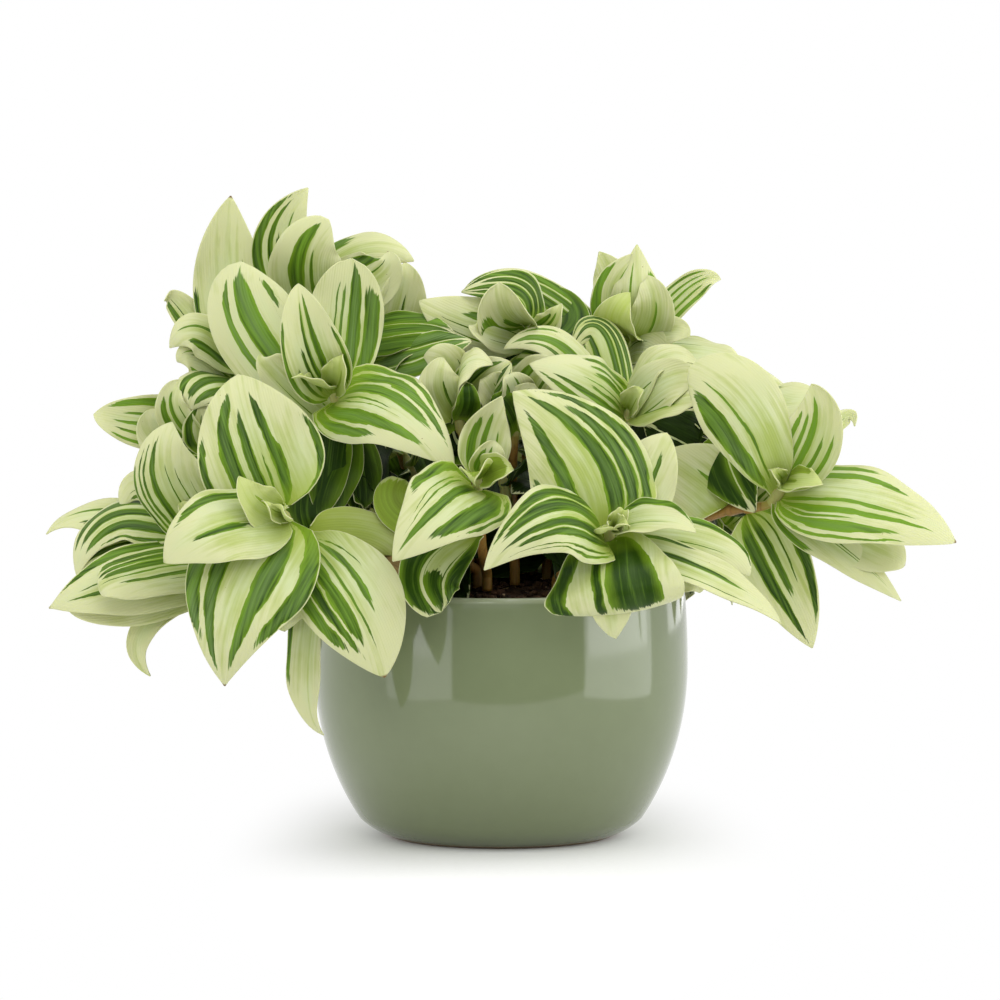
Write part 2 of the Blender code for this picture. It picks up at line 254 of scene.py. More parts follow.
def crumbMesh():
    # loose crumbs, each a rough little ball pressed part way into the surface
    rng = random.Random(soil["seed"])

    def build(cage):
        for _ in range(soil["crumbs"]):
            reach = (soilRadius - soil["crumbMargin"]) * math.sqrt(rng.random())
            turn = rng.random() * math.tau
            size = rng.uniform(*soil["crumbSizes"]) ** soil["crumbSkew"]
            height = soilHeight(reach) + soil["crumbLift"] * size
            place = Vector((reach * math.cos(turn), reach * math.sin(turn), height))
            wide, tall = soil["crumbWide"], soil["crumbTall"]
            stretch = Vector((rng.uniform(*wide), rng.uniform(*wide), rng.uniform(*tall)))
            for vertex in bmesh.ops.create_icosphere(cage, subdivisions=2, radius=size)["verts"]:
                rough = 1 + soil["crumbRough"] * noise.noise(vertex.co / size * soil["crumbKnobs"] + place)
                vertex.co = (vertex.co * stretch * rough + place) * mm
    return meshFrom("soil_crumbs", build)


def moistPeat():
    # fibrous and damp: dark and matt, paler where a crumb has dried
    material, tree, shader = newMaterial("moistPeatSoil")
    place = addNode(tree, "TexCoord").outputs["Object"]
    crumb = addNode(tree, "TexVoronoi", {"Vector": place, "Scale": 1 / (soil["cell"] * mm)})
    fine = addNode(tree, "TexNoise", {"Vector": place, "Scale": 1 / (soil["fibre"] * mm), "Detail": 4.0})
    patch = addNode(tree, "TexNoise", {"Vector": place, "Scale": 1 / (soil["patch"] * mm), "Detail": 2.0})
    tone = addNode(tree, "Math", {0: fine, 1: patch}, operation="MULTIPLY")
    low, high = soil["dampShare"]
    spread = addNode(tree, "MapRange", {0: tone, 1: low, 2: high})
    colour = addNode(tree, "Mix", {0: spread, 6: hexColour(soil["dark"]), 7: hexColour(soil["light"])},
                     data_type="RGBA")
    chance = addNode(tree, "SeparateColor", {0: crumb.outputs["Color"]})
    low, high = soil["paleCells"]
    rare = addNode(tree, "MapRange", {0: chance, 1: low, 2: high})
    speckled = addNode(tree, "Mix", {0: rare, 6: colour, 7: hexColour(soil["pale"])}, data_type="RGBA")
    bump = addNode(tree, "Bump", {"Strength": 0.7, "Distance": soil["fibreHeight"] * mm, "Height": fine})
    feed(tree, shader, {"Base Color": speckled, "Normal": bump, "Roughness": soil["roughness"]})
    return material


peat = moistPeat()
newPiece("potting_soil", soilMesh(), peat, "potting_soil", "soil")
newPiece("soil_crumbs", crumbMesh(), peat, "potting_soil")
print("soil done")


# leaf finish: thin living blade, waxy above, variegated along its veins

leafFinish = {
    "cream": "#C9CC9C", "milk": "#C3CC9B", "veil": "#98AA42",
    # the silvery grey green laid within the green bands is a painted sheen
    "deepGreen": "#254006", "brightGreen": "#6C9228", "edgeGreen": "#769820", "sheenGreen": "#6C884A",
    "footGreen": "#88A828", "budGreen": "#9FB240", "brown": "#6E5230",
    # painted shade: leaves named shade take these darker greens, for the shade deep inside the plant
    "shadeDeep": "#131F08", "shadeBright": "#2A4110",
    "roughness": 0.40, "ior": 1.38, "gloss": 0.2,
    "throughLight": 0.25, "lightReach": 1.2,   # share and depth in mm of the light that seeps through
    "lightTint": (1.0, 1.0, 0.4),              # how far each colour of it gets
    "veinGap": 1.1, "veinRise": 0.045,         # mm between the parallel veins, and that they stand up
    "bandEdge": 0.008,                         # softness of a band's side, as a share of the width
    "taper": 0.12,                             # how far along a band's end rounds off to its tip
    "stray": 0.022, "torn": 0.045,             # how far bands wander sideways and their ends are torn
    "whole": 0.965,                            # bands that get this far run on to the tip
    "veilMost": 0.75, "footMost": 0.75, "edgeMost": 0.7, "sheenMost": 0.9,    # how far each covers
    "rim": (0.488, 0.497), "tip": (0.982, 0.995),    # shares off the midrib and along
    "speck": (0.28, 0.2, 1), "speckSize": (0.055, 0.035), "speckChance": (0.86, 0.88),
    "brownTips": 0.56,                         # the higher, the fewer tips are dry
}
# What varies in a blade: how many per mm across and along, how fine, and how rough.
leafNoises = {
    "wander": (0.22, 0.05, 3.0, 0.5), "streak": (1.3, 0.03, 2.0, 0.5), "cloud": (0.12, 0.04, 3.0, 0.5),
    "veil": (0.5, 0.015, 3.0, 0.5), "mood": (0.5, 0.018, 3.0, 0.6), "lot": (0.013, 0.002, 0.0, 0.5),
}

# Bands of green across the blade, from the left margin (-1) to the right one (1) with the tip
# up: where each begins and ends across, how far along from foot (0) to tip (1) it starts and
# stops, and how much silvery painted sheen it has.
bandPatterns = {
    "crownTall": [(-1, -.82, 0, .72, .1), (-.62, -.5, .05, .32, .1), (-.33, -.2, .1, .45, .1),
                  (-.12, -.02, .14, .84, .1), (.1, .28, .08, .9, .1), (.8, .93, .1, .62, .1)],
    "crownBack": [(-.32, -.26, .1, .84, .6), (-.14, -.04, .0, .8, .6), (.06, .4, .0, .97, .75),
                  (.48, .9, .0, .8, .6)],
    "crownWide": [(-.94, -.8, 0, .8, .2), (-.7, -.46, .02, .93, .5), (-.38, -.12, .0, .8, .5),
                  (.0, .05, .1, .52, .2), (.12, .14, .1, .72, .2), (.3, .58, .02, .85, .5),
                  (.66, .86, .03, .55, .4), (.95, 1, 0, .25, .0)],
    "silverWide": [(-1, -.82, 0, .38, .1), (-.55, -.4, .08, .9, .6), (-.24, .22, .05, .95, .8),
                   (.58, .78, .6, .86, .3)],
    "broadUpright": [(-1, -.86, 0, .6, .3), (-.62, -.36, .1, .86, .5), (-.24, -.08, .08, .7, .4),
                     (.0, .03, .1, .4, .2), (.15, .32, .02, .82, .3), (.88, 1, 0, .55, .3)],
    "creamTwo": [(-.22, -.06, .28, .72, .2), (.62, .86, .12, .76, .2)],
    "hanging": [(-1, -.7, .0, .74, .5), (-.45, -.14, .02, .9, .6), (.34, .6, .05, .92, .8),
                (.7, 1, .1, .75, .8)],
    "halfGreen": [(-.5, -.46, .1, .35, .1), (-.33, -.2, .05, .65, .3), (-.02, .04, .1, .85, .3),
                  (.14, .4, .0, .8, .1), (.43, .63, .0, .86, .2), (.67, .9, .08, .8, .3)],
    "greenEdge": [(.82, 1, 0, .62, .1)],
    "whiteHair": [(-1, -.92, 0, .6, .3), (-.82, -.74, 0, .75, .3), (-.66, -.58, 0, .78, .3),
                  (-.46, -.28, 0, .84, .2), (.02, .06, .25, .65, .2), (.28, .31, .2, .6, .2),
                  (.52, .55, .1, .4, .2)],
    "plainPair": [(-.7, -.35, .0, .7, .3), (.15, .3, .0, .8, .3)],
    "threeBands": [(-.9, -.8, .0, .8, .4), (-.6, -.25, .0, .9, .4), (-.05, .3, .0, .85, .3),
                   (.5, .82, .0, .88, .3)],
    "lowerEdge": [(-.3, -.16, .1, .85, .3), (.05, .12, .2, .8, .3), (.7, .96, .0, .9, .2)],
    "innerCup": [(-.66, -.3, .0, .7, .1), (-.16, .06, .05, .8, .1), (.4, .5, .1, .6, .1)],
    "foldedPair": [(-.92, -.84, .1, .6, .2), (-.76, -.36, .0, .76, .4), (-.06, .18, .02, .95, .3),
                   (.33, .37, .1, .88, .2), (.48, .51, .1, .8, .2), (.7, .94, .0, .56, .1)],
    "plainGreen": [(-1, 1, 0, 1, .0)],
    "greyBroad": [(-.95, -.76, 0, .56, .6), (-.56, -.32, .08, .92, .5), (.1, .36, .02, .96, .5),
                  (.42, .62, .0, .78, .6), (.7, .9, .02, .92, .6)],
    "droopStripes": [(-.86, -.82, .1, .8, .2), (-.74, -.7, .1, .9, .2), (-.52, -.34, .02, .85, .4),
                     (-.28, -.06, .0, .88, .3), (.1, .48, .0, .86, .3), (.54, .82, .02, .92, .2)],
    "midStreak": [(-.95, -.8, .05, .4, .2), (-.3, -.06, .1, .75, .2), (.6, .66, .2, .9, .2)],
    "overRim": [(-.7, .08, .0, .9, .1), (.14, .3, .0, .93, .0), (.67, 1, .0, .96, .0)],
    "manyThin": [(-.72, -.5, .0, .9, .2), (-.36, -.2, .0, .8, .2), (-.12, -.02, .1, .5, .1),
                 (.08, .12, .1, .6, .1), (.28, .44, .0, .5, .1), (.5, .6, .05, .56, .1),
                 (.7, .86, .0, .62, .1)],
    "creamSide": [(-.86, -.44, .06, .88, .5), (-.21, -.14, .1, .86, .3)],
    "upCup": [(-.76, -.6, .15, .7, .1), (-.46, -.32, .2, .66, .1), (-.2, .0, .12, .86, .1),
              (.2, .35, .08, .46, .1), (.55, .7, .1, .5, .1)],
    "longRight": [(-.92, -.8, .0, .5, .3), (-.7, -.54, .0, .72, .3), (.02, .12, .03, .72, .1),
                  (.24, .36, .04, .86, .1), (.42, .5, .1, .42, .1), (.56, .75, .02, .66, .4),
                  (.86, .93, .0, .72, .2)],
    "yellowEdge": [(-.24, -.18, .5, .9, .1), (-.1, -.05, .5, .92, .1), (.74, 1, .0, .46, .1)],
    "darkStripes": [(-.95, -.66, .0, .88, .2), (-.4, -.34, .0, .62, .2), (-.16, .06, .0, .68, .2),
                    (.18, .5, .0, .96, .2)],
    "foldedUp": [(-1, -.5, .0, .8, .1), (.2, .3, .0, .9, .1), (.55, .6, .1, .6, .1)],
    "fanThin": [(-.85, -.7, 0, .8, .2), (-.5, -.36, 0, .75, .2), (-.15, .0, 0, .8, .2),
                (.25, .38, .0, .7, .2), (.62, .9, .0, .85, .2)],
    "oneStreak": [(.1, .2, .15, .6, .2)],
    "tallCream": [(-1, -.84, 0, .46, .0), (-.76, -.7, 0, .3, .0), (.26, .3, .06, .3, .2),
                  (.38, .48, .16, .62, .1)],
    "darkLeft": [(-1, -.66, .0, .92, .4), (-.5, -.3, .0, .9, .2), (-.22, -.1, .0, .6, .2),
                 (.1, .2, .35, .82, .1)],
    "deepPair": [(-.46, -.06, .0, .92, .0), (.08, .2, .0, .6, .0)],
    "shoulder": [(-1, -.5, .0, .5, .3), (-.42, -.1, .0, .32, .3)],
    "deepStripes": [(-1, -.62, .0, 1, .2), (-.54, -.2, .0, .96, .2), (-.14, .22, .0, 1, .3),
                    (.3, .56, .0, .9, .3), (.62, .94, .0, 1, .2)],
    "budCup": [(-.75, .75, .0, .8, .0)],
    "budWhole": [(-1, 1, .0, 1, .0)],
    "budPlain": [],
    "budOpen": [(-1, -.55, .0, .7, .1), (-.2, .1, .0, .35, .0), (.7, .8, .1, .7, .1)],
    "openCup": [(-1, -.4, .0, .66, .1), (-.3, -.1, .0, .45, .0), (.9, 1, .0, .7, .1)],
    "twoHairs": [(-1, -.3, 0, .96, .2), (-.27, .25, 0, 1, .3), (.28, 1, 0, .97, .2)],
    "sideStreaks": [(-.5, -.46, .3, .8, .1), (-.2, -.15, .3, .75, .1), (.15, .42, .05, .55, .5)],
    "darkPair": [(-1, -.06, 0, 1, .0), (.0, 1, 0, .96, .0)],
    "plainCream": [(-.34, -.3, .05, .5, .2), (.5, .56, .1, .45, .3)],
    "silverPlain": [(-.96, -.3, 0, .98, .9), (-.24, .3, 0, .96, .9), (.36, .96, 0, .98, .9)],
    "greenTop": [(-1, -.72, .0, .95, .1), (.1, .14, .1, .7, .2)],
    "foldedHem": [(-1, -.5, 0, 1, .0), (-.5, .2, .5, 1, .0), (.2, 1, 0, 1, .0)],
    "bud": [(.2, .34, .1, .6, .0)],
    # painted shade: leaves of these patterns are dark, for the shade inside the plant
    "shadeFull": [(-1, 1, 0, 1, .0)],
    "shadePair": [(-1, -.03, 0, 1, .0), (.03, 1, 0, .96, .0)],
}
# Leaves of some patterns are deeper (-1) or brighter (1) green than the rest, and their cream is
# greyer (1) or clearer (-1).
leafTones = {
    "overRim": (-.7, .2), "greyBroad": (-.3, .7), "deepStripes": (-.2, .2), "droopStripes": (-.2, .1),
    "broadUpright": (-.2, .1), "threeBands": (-.2, .1), "darkPair": (-.6, .3), "plainGreen": (-.6, 0),
    "foldedHem": (-.5, .6), "silverWide": (.3, -.2), "crownBack": (.2, .1), "crownWide": (.3, -.2),
    "longRight": (.8, -.2), "upCup": (.7, .3), "foldedUp": (.6, .1), "fanThin": (.6, 0),
    "innerCup": (.4, .3), "darkStripes": (-.3, .1), "yellowEdge": (.4, 0), "oneStreak": (.2, .3),
    "manyThin": (.2, .2), "plainPair": (.1, .1), "openCup": (.3, .3), "twoHairs": (.1, .1),
    "budPlain": (0, 1),
}


def setCurve(curve, knots):
    # straight stretches through knots, which are in order from left to right
    while len(curve.points) < len(knots):
        curve.points.new(0.5, 0.5)
    for point, knot in zip(curve.points, knots):
        point.location = knot
        point.handle_type = "VECTOR"


def bandKnots(bands, value):
    # value(band, inside) across each band, where inside goes from 0 at its sides to 1 in its
    # middle, and zero between bands
    knots = [(0.0, 0.0)]
    soft = leafFinish["bandEdge"]
    for band in sorted(bands):
        left, right = (band[0] + 1) / 2, (band[1] + 1) / 2
        knots.append((max(left - soft, knots[-1][0] + 0.001), 0.0))
        for share in (0.0, 0.2, 0.45, 0.75, 1.0):
            spot = left + (right - left) * share + soft * (0.5 - share)
            knots.append((spot, value(band, 4 * share * (1 - share))))
        knots.append((min(right + soft, 1.0), 0.0))
    return knots + [(1.001, 0.0)] if knots[-1][0] < 1 else knots


def variegatedLeaf(name, bands):
    # grown, not made: the green lies in bands between the parallel veins and ends raggedly,
    # with a painted sheen of silvery grey green within the bands; light seeps through the thin cream parts
    finish = leafFinish
    tint = {part: hexColour(code) for part, code in finish.items() if isinstance(code, str)}
    young, shaded = name.startswith("bud"), name.startswith("shade")
    tone, grey = leafTones.get(name, (0, 0))
    material, tree, shader = newMaterial("variegatedLeaf_" + name)
    blade = addNode(tree, "UVMap", uv_map="blade")
    grain = addNode(tree, "UVMap", uv_map="grain")
    across, along = addNode(tree, "SeparateXYZ", {0: blade}).outputs[:2]
    noises = {}
    for part, (wide, far, detail, rough) in leafNoises.items():
        scaled = addNode(tree, "Mapping", {"Vector": grain, "Scale": (wide, far, 1)})
        noises[part] = addNode(tree, "TexNoise", {"Vector": scaled, "Scale": 1.0, "Detail": detail,
                                                  "Roughness": rough})

    # bands wander a little sideways and break up into streaks at their ends
    shift = addNode(tree, "MapRange", {0: noises["wander"], 1: 0.25, 2: 0.75,
                                       3: -finish["stray"], 4: finish["stray"]})
    moved = addNode(tree, "Math", {0: across, 1: shift}, operation="ADD")
    curves = addNode(tree, "RGBCurve", {"Color": moved})
    taper = finish["taper"]
    shapes = [
        lambda band, inside: band[3] - taper * (band[3] - band[2]) * (1 - inside),   # where it stops
        lambda band, inside: band[2] * (1 + 0.3 * (1 - inside)),                     # where it starts
        lambda band, inside: inside * (0.4 + 0.6 * band[4]),      # how far inside, and how much painted sheen
    ]
    for channel, value in enumerate(shapes):
        setCurve(curves.mapping.curves[channel], bandKnots(bands, value))
    curves.mapping.update()
    stop, start, inside = addNode(tree, "SeparateColor", {0: curves}).outputs[:3]
    ragged = addNode(tree, "MapRange", {0: noises["streak"], 1: 0.3, 2: 0.7,
                                        3: -finish["torn"], 4: finish["torn"]})
    torn = addNode(tree, "Math", {0: along, 1: ragged}, operation="ADD")
    place = addNode(tree, "Math", {0: torn, 1: finish["whole"]}, operation="MINIMUM")
    before = addNode(tree, "Math", {0: stop, 1: place}, operation="SUBTRACT")
    after = addNode(tree, "Math", {0: place, 1: start}, operation="SUBTRACT")
    ends = addNode(tree, "MapRange", {0: before, 1: 0.0, 2: 0.03})
    starts = addNode(tree, "MapRange", {0: after, 1: -0.05, 2: -0.03})
    green = addNode(tree, "Math", {0: ends, 1: starts}, operation="MULTIPLY")

    # cream, milkier in the middle of the blade, warmer at its margin and tip, and veiled with
    # grey green between the veins, most of all towards the foot
    middle = addNode(tree, "Math", {0: across, 1: 0.5}, operation="SUBTRACT")
    offMiddle = addNode(tree, "Math", {0: middle}, operation="ABSOLUTE")
    warm = addNode(tree, "Math", {0: along, 1: offMiddle}, operation="ADD")
    blend = addNode(tree, "Math", {0: warm, 1: noises["cloud"]}, operation="ADD")
    warmth = addNode(tree, "MapRange", {0: blend, 1: 0.95, 2: 1.4})
    ground = addNode(tree, "Mix", {0: warmth, 6: tint["milk"], 7: tint["cream"]}, data_type="RGBA")
    veils = addNode(tree, "Math", {0: noises["veil"], 1: noises["cloud"]}, operation="ADD")
    veilLow = addNode(tree, "MapRange", {0: warm, 1: 0.2, 2: 1.1, 3: 0.78, 4: 1.2})
    veilShow = addNode(tree, "Math", {0: veils, 1: veilLow}, operation="SUBTRACT")
    veiled = addNode(tree, "MapRange", {0: veilShow, 1: -0.1 - 0.3 * grey, 2: 0.35 - 0.2 * grey,
                                        3: 0.0, 4: finish["veilMost"]})
    tinged = addNode(tree, "Mix", {0: veiled, 6: ground, 7: tint["veil"]}, data_type="RGBA")
    foot = addNode(tree, "MapRange", {0: along, 1: 0.02, 2: 0.2, 3: finish["footMost"], 4: 0.0})
    pale = addNode(tree, "Mix", {0: foot, 6: tinged, 7: tint["budGreen"]}, data_type="RGBA")

    # the green itself: deep and bright stretches along the veins, brighter at a band's sides,
    # and a painted sheen of silvery grey green within the widest bands
    vivid = addNode(tree, "MapRange", {0: noises["mood"], 1: 0.35 - 0.25 * tone, 2: 0.68 - 0.25 * tone})
    # leaves named shade get painted shade: darker greens, without paler sides or foot
    low, high = ("shadeDeep", "shadeBright") if shaded else ("deepGreen", "brightGreen")
    deep = addNode(tree, "Mix", {0: vivid, 6: tint[low], 7: tint[high]}, data_type="RGBA")
    edgeMost, footMost = (0.0, 0.0) if shaded else (finish["edgeMost"], finish["footMost"])
    side = addNode(tree, "MapRange", {0: inside, 1: 0.0, 2: 0.3, 3: edgeMost, 4: 0.0})
    edged = addNode(tree, "Mix", {0: side, 6: deep, 7: tint["edgeGreen"]}, data_type="RGBA")
    # painted sheen: silvery grey green laid over the middle of the widest bands
    sheenShare = addNode(tree, "MapRange", {0: inside, 1: 0.36, 2: 0.9, 3: 0.0, 4: finish["sheenMost"]})
    fine = addNode(tree, "MapRange", {0: noises["streak"], 1: 0.35, 2: 0.6, 3: 0.45, 4: 1.0})
    sheen = addNode(tree, "Math", {0: sheenShare, 1: fine}, operation="MULTIPLY")
    sheened = addNode(tree, "Mix", {0: sheen, 6: edged, 7: tint["sheenGreen"]}, data_type="RGBA")
    greenFoot = addNode(tree, "MapRange", {0: along, 1: 0.0, 2: 0.16, 3: footMost, 4: 0.0})
    sheenAndFootGreen = addNode(tree, "Mix", {0: greenFoot, 6: sheened, 7: tint["footGreen"]}, data_type="RGBA")
    skin = addNode(tree, "Mix", {0: green, 6: pale, 7: sheenAndFootGreen}, data_type="RGBA")
    if young:
        skin = addNode(tree, "Mix", {0: 0.5, 6: skin, 7: tint["budGreen"]}, data_type="RGBA")

    # a thin pale rim, brown at the very tip, and a few brown specks
    rim = addNode(tree, "MapRange", {0: offMiddle, 1: finish["rim"][0], 2: finish["rim"][1]})
    # a shaded leaf's rim stays dark, as painted shade
    margin = tint["shadeBright" if shaded else "cream"]
    rimmed = addNode(tree, "Mix", {0: rim, 6: skin, 7: margin}, data_type="RGBA")
    tip = addNode(tree, "MapRange", {0: along, 1: finish["tip"][0], 2: finish["tip"][1]})
    dryTip = addNode(tree, "MapRange", {0: noises["lot"], 1: finish["brownTips"],
                                        2: finish["brownTips"] + 0.02})
    tipDry = addNode(tree, "Math", {0: tip, 1: dryTip}, operation="MULTIPLY")
    scaled = addNode(tree, "Mapping", {"Vector": grain, "Scale": finish["speck"]})
    speck = addNode(tree, "TexVoronoi", {"Vector": scaled, "Scale": 1.0})
    outer, inner = finish["speckSize"]
    dot = addNode(tree, "MapRange", {0: speck.outputs["Distance"], 1: outer, 2: inner})
    rare = addNode(tree, "SeparateColor", {0: speck.outputs["Color"]})
    few, most = finish["speckChance"]
    seldom = addNode(tree, "MapRange", {0: rare, 1: few, 2: most})
    spot = addNode(tree, "Math", {0: dot, 1: seldom}, operation="MULTIPLY")
    blemish = addNode(tree, "Math", {0: spot, 1: tipDry}, operation="MAXIMUM")
    colour = addNode(tree, "Mix", {0: blemish, 6: rimmed, 7: tint["brown"]}, data_type="RGBA")

    # parallel veins raise faint ridges
    ridge = addNode(tree, "SeparateXYZ", {0: grain})
    phase = addNode(tree, "Math", {0: ridge, 1: math.tau / finish["veinGap"]}, operation="MULTIPLY")
    wave = addNode(tree, "Math", {0: phase}, operation="SINE")
    relief = addNode(tree, "Math", {0: noises["streak"], 1: 2.0, 2: wave}, operation="MULTIPLY_ADD")
    bump = addNode(tree, "Bump", {"Strength": 0.5, "Distance": finish["veinRise"] * mm, "Height": relief})
    feed(tree, shader, {
        "Base Color": colour, "Normal": bump, "Roughness": finish["roughness"], "IOR": finish["ior"],
        "Specular IOR Level": finish["gloss"], "Subsurface Weight": finish["throughLight"],
        "Subsurface Scale": finish["lightReach"] * mm, "Subsurface Radius": finish["lightTint"]})
    return material


dryFinish = {
    "dark": "#5A4220", "pale": "#A68C52", "roughness": 0.8,
    "fibre": (1.1, 0.06, 1), "crease": 0.2,    # veins per mm across and along, and mm of relief
}


def dryLeaf():
    # a dead leaf: papery, brown and matt, with dark veins left standing
    material, tree, shader = newMaterial("dryLeaf")
    grain = addNode(tree, "UVMap", uv_map="grain")
    fibre = addNode(tree, "Mapping", {"Vector": grain, "Scale": dryFinish["fibre"]})
    streak = addNode(tree, "TexNoise", {"Vector": fibre, "Scale": 1.0, "Detail": 4.0})
    colour = addNode(tree, "Mix", {0: streak, 6: hexColour(dryFinish["dark"]),
                                   7: hexColour(dryFinish["pale"])}, data_type="RGBA")
    bump = addNode(tree, "Bump", {"Strength": 0.6, "Distance": dryFinish["crease"] * mm, "Height": streak})
    feed(tree, shader, {"Base Color": colour, "Normal": bump, "Roughness": dryFinish["roughness"]})
    return material


leafMaterials = {name: variegatedLeaf(name, bands) for name, bands in bandPatterns.items()}
leafMaterials["dryLeaf"] = dryLeaf()
print("leaf materials done:", len(leafMaterials))


# shoots: fleshy stems with a leaf clasping each node

stem = {
    "radius": 2.3, "thin": 0.8,          # mm, and the share of it left at the tip
    "pointsPerSpan": 8, "sides": 12,
    "upright": 7.0, "lift": 0.65,        # mm that it rises straight, and that it starts above the soil
    "sheath": 0.7, "sheathLength": 7.0,  # mm that a leaf's foot wraps round the stem
    "sheathBelow": 0.5,                  # mm below the node where it starts
    "ringStep": 1.5, "tipLength": 6.0, "tipRound": 0.3,
    "grownUp": 40.0,                     # mm from the tip to where the stem is golden and corky
    "green": "#8F9E45", "old": "#A07A3A", "node": "#6B4A26", "wrap": "#B9B873",
    "patch": 12.0, "fibre": (1.2, 1.2, 50 / 3), "relief": 0.15,    # mm
    "roughness": 0.4, "ior": 1.4, "throughLight": 0.2, "lightReach": 1.5,
    "gap": 0.3,
}
leafShape = {
    "grid": (30, 18), "thickness": 0.45,
    "footWidth": 8.5, "tipWidth": 0.5, "broadest": 0.33, "point": 0.82,
    "clasp": 62.0, "claspEnd": 0.24,     # degrees that the foot is rolled up, and how far along
    "ripple": 0.9, "waves": 2.3,         # mm, and waves along the margin
    "recurve": 3.0, "recurveFrom": 0.75,    # mm that the tip bends back, and from where along
    "grainSpread": 400,                  # mm of pattern that blades are cut from, so that none repeats
}

